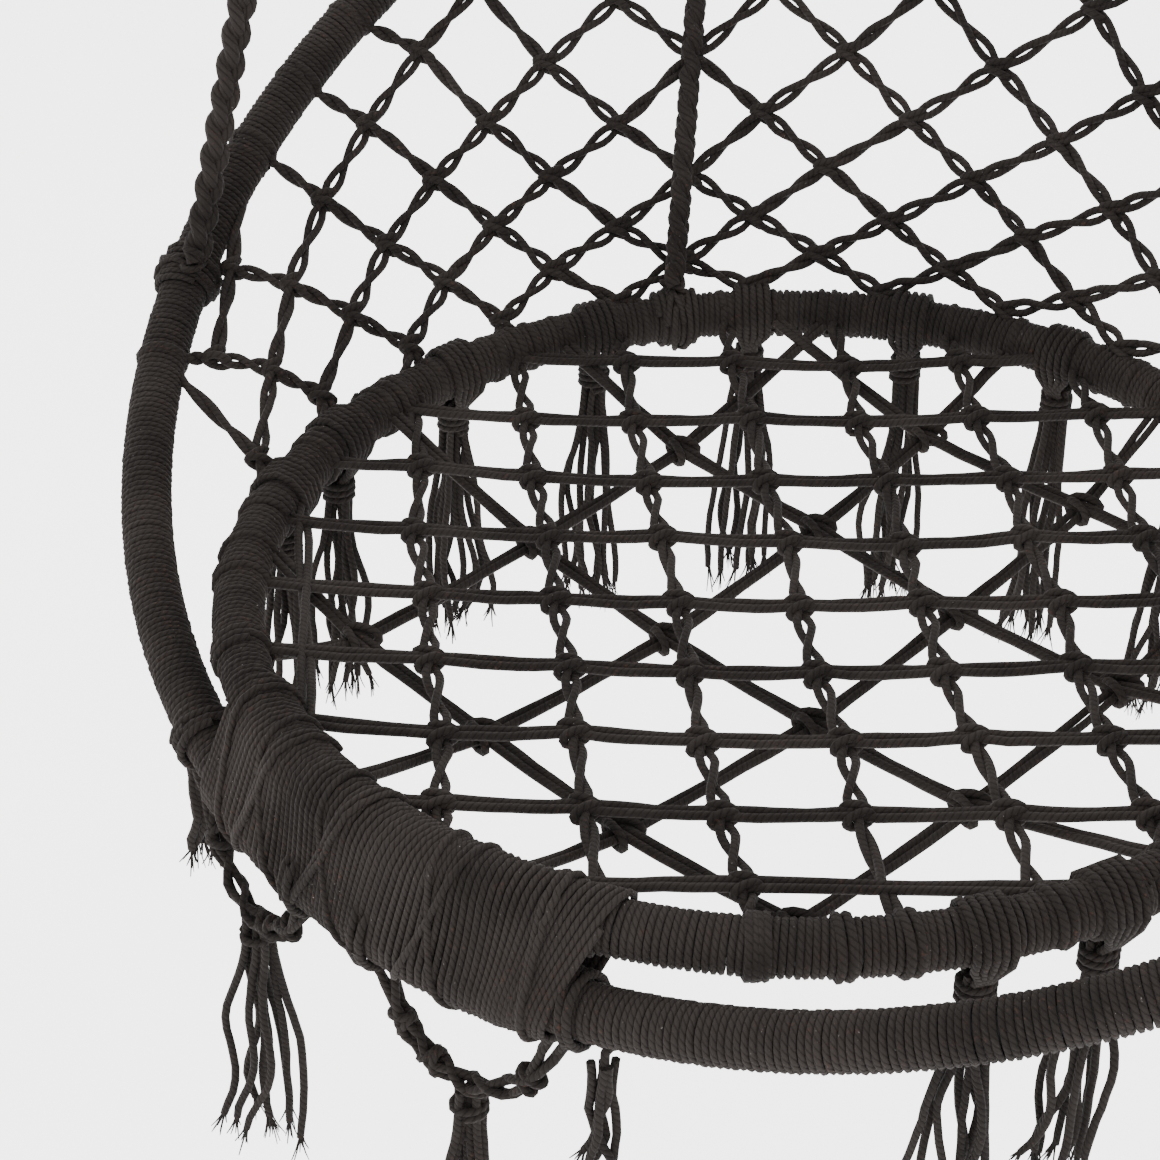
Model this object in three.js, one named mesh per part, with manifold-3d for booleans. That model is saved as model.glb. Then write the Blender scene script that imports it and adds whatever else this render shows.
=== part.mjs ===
// Two-hoop macrame hanging seat: a round seat hoop lashed at its front edge inside a
// larger, tilted back hoop, with a knotted seat, a net between the hoops, four braided
// ropes and a fringe of tassels.
//
// Units are millimetres. +Z is up and -Y is the side the sitter faces.
// The origin lies on the swing axis, halfway between the two steel hanging rings.
// An angle on a hoop is measured from its front, growing towards +X, so 180 is the rear.

import * as THREE from 'three';
import { mergeVertices } from 'three/addons/utils/BufferGeometryUtils.js';
import Module from 'manifold-3d';

const wasm = await Module();
wasm.setup();

// ---- driving dimensions ----

const SEAT_DROP = 650;             // swing axis down to the seat hoop's centre
const SEAT_FORWARD = 62.5;         // seat hoop centre ahead of the axis, for a level hang
const SEAT_RADIUS = 285;
const SEAT_TILT = 4.3;             // degrees, rear edge up
const BACK_RADIUS = 445;
const BACK_TILT = 32.1;
const BACK_OFFSET_Y = 85.5;        // back hoop's centre from the seat hoop's centre
const BACK_OFFSET_Z = 174;

const TUBE_RADIUS = 9;             // steel tube inside each hoop
const WRAP_RADIUS = 13.9;          // outside of the cord wound on the tube
const WRAP_GAP_ANGLE = 5;          // half of the opening left in the winding, at the front
const WRAP_INNER_RADIUS = 10.9;
const CLEARANCE = 0.4;

const HANG_HALF_SPAN = 400;        // each hanging ring from the middle
const RING_RADIUS = 24;
const RING_BAR_RADIUS = 4;
const EYE_RADIUS = 11.5;           // rope eye that turns on the ring's bar
const EYE_BAR_RADIUS = 5;
const NECK_RADIUS = 17;            // whipping that gathers two ropes into one eye
const NECK_TOP = -13;
const NECK_LENGTH = 46;

const ROPE_RADIUS = 7.5;
const FRONT_ROPE_ANGLE = 60.5;     // on the back hoop, from its front
const REAR_ROPE_ANGLE = 58;        // on both hoops, from their rear
const HITCH_GAP = 1;
const HITCH_LENGTH = 30;           // along the hoop
const HITCH_THICKNESS = 5;

const LASHING_HALF_ANGLE = 27;     // on the seat hoop
const LASHING_THICKNESS = 4;
const LASHING_GAP = 1.7;

const NET_THICKNESS = 6;
const NET_EDGE = 22;               // net panel's edge from a hoop's centre line
const NET_OUTER_ANGLE = 124;       // from the rear
const NET_LEAN = 14;               // degrees, greatest where the hoops close up
const NET_LEAN_CENTRE = 118;
const NET_LEAN_WIDTH = 28;
const NET_ROPE_HALF_GAP = 4.4;     // degrees left free beside each rear rope

const CORD_RADIUS = 4;             // two 4 mm cords side by side, as one bar
const SEAT_LINES = 9;
const SEAT_PITCH = 57;
const SEAT_NET_HEADING = 45;       // rows against the X axis, degrees
const SEAT_SAG = 12;
const UNDER_LINES = 5;
const UNDER_PITCH = 92;
const UNDER_DEPTH = 16;
const UNDER_SAG = 26;

const TASSEL_STEP = 19.4;          // degrees between tassels on the seat hoop
const TASSELS_PER_SIDE = 6;
const LAST_TASSEL_ANGLE = 119;     // one more on each side, from the rear
const TASSEL_HEAD = 7.5;
const TASSEL_SKIRT = 13;
const TASSEL_LENGTH = 190;
const FRONT_TASSEL_LENGTH = 150;
const SMALL_TASSEL_ANGLE = 20;
const SMALL_TASSEL_LENGTH = 70;
const SWAG_START = 4;
const SWAG_END = 17;
const SWAG_RADIUS = 6.5;
const SWAG_SAG = 34;

const CORD_COLOUR = 0x2d2826;
const rad = THREE.MathUtils.degToRad;

// ---- materials ----

function cotton() {
  return new THREE.MeshStandardMaterial({ color: CORD_COLOUR, roughness: 0.95, metalness: 0 });
}

function steel() {
  return new THREE.MeshStandardMaterial({ color: 0xb9bbbd, roughness: 0.3, metalness: 1 });
}

function paintedSteel() {
  return new THREE.MeshStandardMaterial({ color: 0x1c1c1d, roughness: 0.5, metalness: 0.6 });
}

// ---- places ----

const seatCentre = new THREE.Vector3(0, -SEAT_FORWARD, -SEAT_DROP);
const backCentre = seatCentre.clone().add(new THREE.Vector3(0, BACK_OFFSET_Y, BACK_OFFSET_Z));

function hoop(centre, radius, tilt) {
  const toRear = new THREE.Vector3(0, Math.cos(rad(tilt)), Math.sin(rad(tilt)));
  const at = (angle, r = radius) => centre.clone()
    .addScaledVector(toRear, -r * Math.cos(rad(angle)))
    .add(new THREE.Vector3(r * Math.sin(rad(angle)), 0, 0));
  const normal = new THREE.Vector3(1, 0, 0).cross(toRear);
  return { centre, radius, toRear, normal, at };
}

const seatHoop = hoop(seatCentre, SEAT_RADIUS, SEAT_TILT);
const backHoop = hoop(backCentre, BACK_RADIUS, BACK_TILT);

// ---- solids ----

function toSolid(geometry) {
  const bare = geometry.clone();
  bare.deleteAttribute('normal');
  bare.deleteAttribute('uv');
  const merged = mergeVertices(bare, 1e-4);
  return new wasm.Manifold(new wasm.Mesh({
    numProp: 3,
    vertProperties: new Float32Array(merged.attributes.position.array),
    triVerts: new Uint32Array(merged.index.array),
  }));
}

function fromSolid(solid) {
  const mesh = solid.getMesh();
  const geometry = new THREE.BufferGeometry();
  geometry.setAttribute('position', new THREE.BufferAttribute(mesh.vertProperties, 3));
  geometry.setIndex(new THREE.BufferAttribute(mesh.triVerts, 1));
  return geometry;
}

function joined(geometries) {
  return fromSolid(geometries.map(toSolid).reduce((all, one) => all.add(one)));
}

// A surface through rings of points, closed at both ends by fans about each ring's middle.
function skin(rings) {
  const positions = [];
  const faces = [];
  const sides = rings[0].length;
  rings.flat().forEach((p) => positions.push(p.x, p.y, p.z));
  for (let i = 0; i < rings.length - 1; i += 1) {
    for (let j = 0; j < sides; j += 1) {
      const a = i * sides + j;
      const b = i * sides + (j + 1) % sides;
      faces.push(a, b, b + sides, a, b + sides, a + sides);
    }
  }
  [0, rings.length - 1].forEach((end) => {
    const middle = new THREE.Vector3();
    rings[end].forEach((p) => middle.addScaledVector(p, 1 / sides));
    const hub = positions.length / 3;
    positions.push(middle.x, middle.y, middle.z);
    for (let j = 0; j < sides; j += 1) {
      const a = end * sides + j;
      const b = end * sides + (j + 1) % sides;
      faces.push(...(end === 0 ? [hub, b, a] : [hub, a, b]));
    }
  });
  return closedGeometry(positions, faces);
}

// A tube wall between outer and inner rings of points, open at both ends.
function wall(outer, inner) {
  const positions = [];
  const faces = [];
  const sides = outer[0].length;
  const layer = outer.length * sides;
  outer.flat().concat(inner.flat()).forEach((p) => positions.push(p.x, p.y, p.z));
  for (let i = 0; i < outer.length - 1; i += 1) {
    for (let j = 0; j < sides; j += 1) {
      const a = i * sides + j;
      const b = i * sides + (j + 1) % sides;
      faces.push(a, b, b + sides, a, b + sides, a + sides);
      faces.push(a + layer, b + layer + sides, b + layer, a + layer, a + layer + sides, b + layer + sides);
    }
  }
  [0, outer.length - 1].forEach((end) => {
    for (let j = 0; j < sides; j += 1) {
      const a = end * sides + j;
      const b = end * sides + (j + 1) % sides;
      const ring = [a, a + layer, b + layer, a, b + layer, b];
      faces.push(...(end === 0 ? ring : ring.reverse()));
    }
  });
  return closedGeometry(positions, faces);
}

function closedGeometry(positions, faces) {
  const geometry = new THREE.BufferGeometry();
  geometry.setAttribute('position', new THREE.Float32BufferAttribute(positions, 3));
  geometry.setIndex(faces);
  return geometry;
}

function roundBar(points, radius, sides, steps) {
  const curve = points.length === 2
    ? new THREE.LineCurve3(points[0], points[1])
    : new THREE.CatmullRomCurve3(points);
  const section = new THREE.Shape();
  for (let i = 0; i < sides; i += 1) {
    const angle = ((i + 0.5) / sides) * Math.PI * 2;
    const move = i === 0 ? 'moveTo' : 'lineTo';
    section[move](radius * Math.cos(angle), radius * Math.sin(angle));
  }
  section.closePath();
  return new THREE.ExtrudeGeometry(section, { steps, extrudePath: curve, bevelEnabled: false });
}

// Rings of points around one or two centres at each station of an arc.
function sleeveRings(stations, radius, sides) {
  return stations.map(({ low, high, along }) => {
    const up = high.distanceTo(low) > 1
      ? high.clone().sub(low).normalize()
      : new THREE.Vector3(0, 0, 1);
    const tangent = along.clone().normalize();
    up.addScaledVector(tangent, -up.dot(tangent)).normalize();
    const side = up.clone().cross(tangent);
    const ring = [];
    for (let j = 0; j < sides; j += 1) {
      const angle = ((j + 0.5) / sides) * Math.PI * 2;
      const centre = Math.sin(angle) > 0 ? high : low;
      ring.push(centre.clone()
        .addScaledVector(side, radius * Math.cos(angle))
        .addScaledVector(up, radius * Math.sin(angle)));
    }
    return ring;
  });
}

function arcStations(path, from, to, count) {
  const stations = [];
  for (let i = 0; i <= count; i += 1) {
    const angle = from + (to - from) * (i / count);
    const along = path.at(angle + 0.5).sub(path.at(angle - 0.5));
    stations.push({ low: path.at(angle), high: path.at(angle), along });
  }
  return stations;
}

function hoopSleeve(path, from, to, inner, outer, sides, count) {
  const stations = arcStations(path, from, to, count);
  const inside = inner / Math.cos(Math.PI / sides);
  return wall(sleeveRings(stations, outer, sides), sleeveRings(stations, inside, sides));
}

function hoopTube(path) {
  const torus = new THREE.TorusGeometry(path.radius, TUBE_RADIUS, 8, 40);
  const turn = new THREE.Matrix4().makeBasis(
    new THREE.Vector3(1, 0, 0),
    path.toRear,
    path.normal,
  );
  turn.setPosition(path.centre);
  return torus.applyMatrix4(turn);
}

// ---- assembly ----

const assembly = new THREE.Group();

function part(name, geometry, material) {
  const mesh = new THREE.Mesh(geometry, material);
  mesh.name = name;
  assembly.add(mesh);
  return mesh;
}

const SIDES = [['left', -1], ['right', 1]];

function addHangers() {
  SIDES.forEach(([side, sign]) => {
    const ring = new THREE.TorusGeometry(RING_RADIUS, RING_BAR_RADIUS, 8, 22);
    ring.rotateZ(Math.PI / 22);
    const mesh = part(`hanging_ring_${side}`, ring, steel());
    mesh.rotation.x = Math.PI / 2;
    mesh.position.set(sign * HANG_HALF_SPAN, 0, RING_RADIUS);

    const eye = new THREE.TorusGeometry(EYE_RADIUS, EYE_BAR_RADIUS, 8, 16).rotateY(Math.PI / 2);
    const neck = new THREE.CylinderGeometry(NECK_RADIUS, NECK_RADIUS, NECK_LENGTH, 12)
      .rotateX(Math.PI / 2)
      .translate(0, 0, NECK_TOP - NECK_LENGTH / 2);
    const loop = part(`rope_eye_${side}`, joined([eye, neck]), cotton());
    loop.position.set(sign * HANG_HALF_SPAN, 0, 0);
  });
}

function addHoops() {
  [['back', backHoop], ['seat', seatHoop]].forEach(([name, path]) => {
    part(`${name}_hoop_tube`, hoopTube(path), paintedSteel());
    const winding = hoopSleeve(
      path, WRAP_GAP_ANGLE, 360 - WRAP_GAP_ANGLE,
      WRAP_INNER_RADIUS, WRAP_RADIUS, 8, 40,
    );
    part(`${name}_hoop_winding`, winding, cotton());
  });
}

function nearestBackAngle(point) {
  return THREE.MathUtils.radToDeg(Math.asin(point.x / BACK_RADIUS));
}

function addLashing() {
  const stations = [];
  const count = 10;
  for (let i = 0; i <= count; i += 1) {
    const angle = LASHING_HALF_ANGLE * (2 * (i / count) - 1);
    const high = seatHoop.at(angle);
    const low = backHoop.at(nearestBackAngle(high));
    const along = seatHoop.at(angle + 0.5).sub(seatHoop.at(angle - 0.5));
    stations.push({ low, high, along });
  }
  const sides = 12;
  const inside = (WRAP_RADIUS + LASHING_GAP) / Math.cos(Math.PI / sides);
  const outside = inside + LASHING_THICKNESS;
  const sleeve = wall(
    sleeveRings(stations, outside, sides),
    sleeveRings(stations, inside, sides),
  );
  part('front_lashing', sleeve, cotton());
}

function hitch(name, path, angle) {
  const half = THREE.MathUtils.radToDeg(HITCH_LENGTH / 2 / path.radius);
  const inner = WRAP_RADIUS + HITCH_GAP;
  const sleeve = hoopSleeve(path, angle - half, angle + half, inner, inner + HITCH_THICKNESS, 10, 2);
  part(name, sleeve, cotton());
}

function straightRope(name, from, to, startGap, endGap) {
  const way = to.clone().sub(from).normalize();
  const start = from.clone().addScaledVector(way, startGap);
  const end = to.clone().addScaledVector(way, -endGap);
  part(name, roundBar([start, end], ROPE_RADIUS, 8, 4), cotton());
}

function addRopes() {
  const hitchReach = WRAP_RADIUS + HITCH_GAP + HITCH_THICKNESS + ROPE_RADIUS * 0.5 + 3;
  SIDES.forEach(([side, sign]) => {
    const foot = new THREE.Vector3(sign * HANG_HALF_SPAN, 0, NECK_TOP - NECK_LENGTH);
    const frontTop = foot.clone().add(new THREE.Vector3(0, -ROPE_RADIUS - 1, 0));
    const rearTop = foot.clone().add(new THREE.Vector3(0, ROPE_RADIUS + 1, 0));
    const frontAngle = sign * FRONT_ROPE_ANGLE;
    const rearAngle = 180 - sign * REAR_ROPE_ANGLE;
    hitch(`front_rope_hitch_${side}`, backHoop, frontAngle);
    hitch(`rear_rope_hitch_${side}`, backHoop, rearAngle);
    hitch(`seat_rope_hitch_${side}`, seatHoop, rearAngle);
    straightRope(`front_rope_${side}`, frontTop, backHoop.at(frontAngle), 2, hitchReach);
    straightRope(`rear_rope_${side}`, rearTop, backHoop.at(rearAngle), 11, hitchReach);
    straightRope(
      `net_rope_${side}`, backHoop.at(rearAngle), seatHoop.at(rearAngle), hitchReach, hitchReach,
    );
  });
}

// Each line of the net joins a point of the back hoop to one of the seat hoop. Towards the
// front the lower end is further back, so that the line stays square to both hoops.
function netEnds(angleFromRear) {
  const spread = (Math.abs(angleFromRear) - NET_LEAN_CENTRE) / NET_LEAN_WIDTH;
  const lean = Math.sign(angleFromRear) * NET_LEAN * Math.exp(-spread * spread);
  return [180 - angleFromRear, 180 - angleFromRear + lean];
}

// The length of the line that stays clear of a hoop it meets at a slant.
function clearLength(path, angle, way) {
  const tangent = path.at(angle + 0.5).sub(path.at(angle - 0.5)).normalize();
  return NET_EDGE / tangent.cross(way).length();
}

// A point of the net: fraction 0 is at the back hoop and 1 at the seat hoop.
function netPoint(angleFromRear, fraction) {
  const [backAngle, seatAngle] = netEnds(angleFromRear);
  const top = backHoop.at(backAngle);
  const bottom = seatHoop.at(seatAngle);
  const way = bottom.clone().sub(top).normalize();
  top.addScaledVector(way, clearLength(backHoop, backAngle, way));
  bottom.addScaledVector(way, -clearLength(seatHoop, seatAngle, way));
  return top.lerp(bottom, fraction);
}

function netNormal(angle, fraction) {
  const across = netPoint(angle + 0.5, fraction).sub(netPoint(angle - 0.5, fraction));
  const down = netPoint(angle, 1).sub(netPoint(angle, 0));
  return across.cross(down).normalize();
}

function netPanel(name, from, to, columns) {
  const rows = 3;
  const rings = [];
  for (let i = 0; i <= columns; i += 1) {
    const angle = from + (to - from) * (i / columns);
    const front = [];
    const behind = [];
    for (let k = 0; k <= rows; k += 1) {
      const point = netPoint(angle, k / rows);
      const normal = netNormal(angle, k / rows);
      front.push(point.clone().addScaledVector(normal, NET_THICKNESS / 2));
      behind.push(point.clone().addScaledVector(normal, -NET_THICKNESS / 2));
    }
    rings.push(behind.concat(front.reverse()));
  }
  part(name, skin(rings), cotton());
}

function addBackNet() {
  const inner = REAR_ROPE_ANGLE - NET_ROPE_HALF_GAP;
  const outer = REAR_ROPE_ANGLE + NET_ROPE_HALF_GAP;
  netPanel('back_net_middle', -inner, inner, 12);
  netPanel('back_net_right', outer, NET_OUTER_ANGLE, 6);
  netPanel('back_net_left', -NET_OUTER_ANGLE, -outer, 6);
}

// A straight line of net across the seat hoop, sagging towards the middle.
function seatLine(heading, offset, depth, sag) {
  const reach = SEAT_RADIUS - WRAP_RADIUS - LASHING_GAP - LASHING_THICKNESS - CORD_RADIUS;
  const half = Math.sqrt(reach * reach - offset * offset);
  const way = new THREE.Vector2(Math.cos(rad(heading)), Math.sin(rad(heading)));
  const points = [];
  for (let i = -2; i <= 2; i += 1) {
    const along = (half * i) / 2;
    const x = way.x * along - way.y * offset;
    const y = way.y * along + way.x * offset;
    const drop = depth + sag * (1 - (x * x + y * y) / (reach * reach));
    points.push(seatHoop.centre.clone()
      .addScaledVector(seatHoop.toRear, y)
      .addScaledVector(seatHoop.normal, -drop)
      .add(new THREE.Vector3(x, 0, 0)));
  }
  return roundBar(points, CORD_RADIUS, 4, 4);
}

function netLines(count, pitch, heading, depth, sag) {
  const lines = [];
  for (let i = 0; i < count; i += 1) {
    const offset = (i - (count - 1) / 2) * pitch;
    lines.push(seatLine(heading, offset, depth, sag));
    lines.push(seatLine(heading + 90, offset, depth, sag));
  }
  return lines;
}

function addSeatNets() {
  const seat = netLines(SEAT_LINES, SEAT_PITCH, SEAT_NET_HEADING, 0, SEAT_SAG);
  part('seat_net', joined(seat), cotton());
  const under = netLines(UNDER_LINES, UNDER_PITCH, 0, UNDER_DEPTH, UNDER_SAG);
  part('under_net', joined(under), cotton());
}

function tassel(name, top, length) {
  const head = TASSEL_HEAD;
  const profile = [
    new THREE.Vector2(0, -length),
    new THREE.Vector2(TASSEL_SKIRT, -length),
    new THREE.Vector2(TASSEL_SKIRT * 0.75, -length * 0.4),
    new THREE.Vector2(head * 0.7, -head * 2),
    new THREE.Vector2(head, -head),
    new THREE.Vector2(head * 0.6, 0),
    new THREE.Vector2(0, 0),
  ];
  const shape = new THREE.LatheGeometry(profile, 7).rotateX(Math.PI / 2);
  const mesh = part(name, shape, cotton());
  mesh.position.copy(top);
}

function addTassels() {
  SIDES.forEach(([side, sign]) => {
    const drop = new THREE.Vector3(0, 0, -WRAP_RADIUS - 2);
    const angles = [];
    for (let i = 0; i < TASSELS_PER_SIDE; i += 1) {
      angles.push(TASSEL_STEP * (i + 0.5));
    }
    angles.push(LAST_TASSEL_ANGLE);
    angles.forEach((angle, i) => {
      const top = seatHoop.at(180 - sign * angle).add(drop);
      tassel(`tassel_${side}_${i + 1}`, top, TASSEL_LENGTH);
    });
  });
}

// Below the lashing a knotted swag hangs on each side, with a tassel at its lowest point.
function addSwags() {
  const under = WRAP_RADIUS + LASHING_GAP + LASHING_THICKNESS + SWAG_RADIUS + 2.5;
  const hang = new THREE.Vector3(0, 0, -under);
  SIDES.forEach(([side, sign]) => {
    const points = [];
    const count = 4;
    for (let i = 0; i <= count; i += 1) {
      const share = i / count;
      const angle = sign * (SWAG_START + (SWAG_END - SWAG_START) * share);
      const sag = SWAG_SAG * Math.sin(Math.PI * share);
      points.push(backHoop.at(angle).add(hang).add(new THREE.Vector3(0, 0, -sag)));
    }
    part(`swag_${side}`, roundBar(points, SWAG_RADIUS, 6, 8), cotton());
    const low = points[count / 2].clone().add(new THREE.Vector3(0, 0, -SWAG_RADIUS - 1));
    tassel(`front_tassel_${side}`, low, FRONT_TASSEL_LENGTH);
    const end = backHoop.at(sign * SMALL_TASSEL_ANGLE);
    tassel(`small_tassel_${side}`, end.add(hang), SMALL_TASSEL_LENGTH);
  });
}

addHangers();
addHoops();
addLashing();
addRopes();
addBackNet();
addSeatNets();
addTassels();
addSwags();

export default assembly;
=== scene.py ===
import math
import random

import bpy
from bpy.props import FloatProperty, FloatVectorProperty, IntProperty, PointerProperty
from mathutils import Matrix, Vector


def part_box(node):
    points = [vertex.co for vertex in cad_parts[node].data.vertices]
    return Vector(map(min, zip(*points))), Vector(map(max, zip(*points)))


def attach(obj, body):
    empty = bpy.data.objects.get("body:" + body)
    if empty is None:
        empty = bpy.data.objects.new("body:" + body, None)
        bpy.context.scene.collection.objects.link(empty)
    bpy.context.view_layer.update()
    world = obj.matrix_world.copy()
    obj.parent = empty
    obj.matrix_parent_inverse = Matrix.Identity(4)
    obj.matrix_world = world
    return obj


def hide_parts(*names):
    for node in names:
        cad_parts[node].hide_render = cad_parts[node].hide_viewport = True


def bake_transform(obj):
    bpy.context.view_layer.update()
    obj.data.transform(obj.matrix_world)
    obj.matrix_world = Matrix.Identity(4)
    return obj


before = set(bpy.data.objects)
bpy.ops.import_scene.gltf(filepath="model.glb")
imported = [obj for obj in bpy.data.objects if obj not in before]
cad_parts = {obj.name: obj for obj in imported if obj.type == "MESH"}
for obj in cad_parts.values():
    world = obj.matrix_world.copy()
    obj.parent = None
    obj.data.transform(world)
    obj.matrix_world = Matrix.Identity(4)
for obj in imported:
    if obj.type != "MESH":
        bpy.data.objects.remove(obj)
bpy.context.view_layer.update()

bl_info = {
    "name": "Macrame Hanging Seat",
    "version": (1, 0, 0),
    "blender": (4, 5, 0),
    "location": "3D View > Sidebar > Hanging Seat",
    "description": "Winds, knots and braids the cords of a two-hoop hanging seat on its frame",
    "category": "Add Mesh",
}

X_AXIS = Vector((1, 0, 0))
Z_AXIS = Vector((0, 0, 1))
SIDES = (("left", -1), ("right", 1))

# ---- sizes of the frame that every piece shares, in metres and degrees ----

TUBE_RADIUS = 0.009                # steel tube inside each hoop
WOUND_RADIUS = 0.0139              # outside of the cord wound on the tube
HANG_HALF_SPAN = 0.400            # each hanging ring from the middle
RING_RADIUS = 0.024
RING_BAR_RADIUS = 0.004
EYE_RADIUS = 0.0115                # rope eye that turns on the ring's bar
NECK_TOP = -0.013
NECK_LENGTH = 0.046                # whipping that gathers two ropes into one eye
YARN_DIAMETER = 0.0011             # loose yarns at a frayed end
FLOOR_LEVEL = -1.45
FRONT_ROPE_ANGLE = 60.5            # on the back hoop, from its front
REAR_ROPE_ANGLE = 58.0             # on both hoops, from their rear
LASHING_START, LASHING_END = -21.0, 28.0    # on the seat hoop, from its front
LASHING_EDGE = 0.5                 # overlay strands end this far inside the lashing
TASSEL_STEP = 19.4                 # between tassels, on the seat hoop
LAST_TASSEL_ANGLE = 119            # the foremost tassel of a side, from the rear
SWAG_START, SWAG_SPAN = 3.2, 14.6  # on the back hoop, from its front
SWAG_STEPS = 24


class Hoop:
    """A tilted circle. An angle is in degrees from its front, growing towards +X."""

    def __init__(self, node):
        low, high = (Vector(corner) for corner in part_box(node))
        half = (high - low) / 2
        self.centre = (low + high) / 2
        self.radius = half.x - TUBE_RADIUS
        tilt = math.atan2(half.z - TUBE_RADIUS, half.y - TUBE_RADIUS)
        self.tilt = tilt
        self.to_rear = Vector((0, math.cos(tilt), math.sin(tilt)))
        self.normal = X_AXIS.cross(self.to_rear)

    def out(self, angle):
        a = math.radians(angle)
        return X_AXIS * math.sin(a) - self.to_rear * math.cos(a)

    def at(self, angle, radius=None, lift=0.0):
        reach = self.radius if radius is None else radius
        return self.centre + self.out(angle) * reach + self.normal * lift

    def tangent(self, angle):
        return self.normal.cross(self.out(angle))


SEAT = Hoop("seat_hoop_tube")
BACK = Hoop("back_hoop_tube")


# ---- sizes and colours a user may change ----

class CordSizes(bpy.types.PropertyGroup):
    winding_cord: FloatProperty(
        name="Winding cord", description="Diameter of the cord wound on the hoops",
        default=0.0037, min=0.002, max=0.008, unit="LENGTH")
    net_cord: FloatProperty(
        name="Net cord", description="Diameter of one cord of the nets",
        default=0.0047, min=0.002, max=0.008, unit="LENGTH")
    lay_length: FloatProperty(
        name="Lay length", description="Length of cord in which one ply goes round once",
        default=0.0105, min=0.004, max=0.05, unit="LENGTH")
    rope_strand: FloatProperty(
        name="Rope strand", description="Diameter of one strand of the braided ropes",
        default=0.0086, min=0.003, max=0.01, unit="LENGTH")
    rope_pitch: FloatProperty(
        name="Rope pitch", description="Length of rope in which the braid repeats",
        default=0.052, min=0.02, max=0.1, unit="LENGTH")
    unevenness: FloatProperty(
        name="Unevenness", description="How far a wound turn strays from its place",
        default=0.0006, min=0.0, max=0.002, unit="LENGTH")
    cord_sides: IntProperty(
        name="Cord sides", description="Faces around a cord", default=6, min=4, max=16)


class NetSizes(bpy.types.PropertyGroup):
    column_step: FloatProperty(
        name="Column step", description="Angle between half columns of the back net, degrees",
        default=7.85, min=4.0, max=20.0)
    eye_width: FloatProperty(
        name="Eye width", description="Half opening of the small eyes beside a knot",
        default=0.0033, min=0.0, max=0.01, unit="LENGTH")
    knot_width: FloatProperty(
        name="Knot width", description="Half width of a square knot",
        default=0.0064, min=0.003, max=0.012, unit="LENGTH")
    seat_column_pitch: FloatProperty(
        name="Seat column pitch", description="Distance between columns of the seat grid",
        default=0.064, min=0.03, max=0.15, unit="LENGTH")
    seat_row_pitch: FloatProperty(
        name="Seat row pitch", description="Distance between rows of the seat grid",
        default=0.059, min=0.03, max=0.15, unit="LENGTH")


class FringeSizes(bpy.types.PropertyGroup):
    strands: IntProperty(
        name="Strands", description="Cords in one tassel", default=9, min=3, max=24)
    fibres: IntProperty(
        name="Fibres", description="Loose yarns at the end of each cord", default=7, min=0, max=20)
    fray: FloatProperty(
        name="Fray", description="Length of the loose yarns",
        default=0.015, min=0.0, max=0.05, unit="LENGTH")


class Finishes(bpy.types.PropertyGroup):
    cord_colour: FloatVectorProperty(
        name="Cord", description="Colour of the cotton cord", subtype="COLOR", size=3,
        default=(0.0078, 0.0064, 0.0058), min=0.0, max=1.0)
    faded_colour: FloatVectorProperty(
        name="Faded cord", description="Colour of the cotton where light has faded it",
        subtype="COLOR", size=3, default=(0.017, 0.0140, 0.0126), min=0.0, max=1.0)
    fuzz_colour: FloatVectorProperty(
        name="Fuzz", description="Colour of the loose brown fibres", subtype="COLOR", size=3,
        default=(0.034, 0.017, 0.012), min=0.0, max=1.0)
    lint_colour: FloatVectorProperty(
        name="Lint", description="Colour of the pale lint specks", subtype="COLOR", size=3,
        default=(0.33, 0.31, 0.29), min=0.0, max=1.0)
    steel_colour: FloatVectorProperty(
        name="Steel", description="Colour of the hanging rings", subtype="COLOR", size=3,
        default=(0.21, 0.21, 0.215), min=0.0, max=1.0)


# ---- node helpers ----

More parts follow.
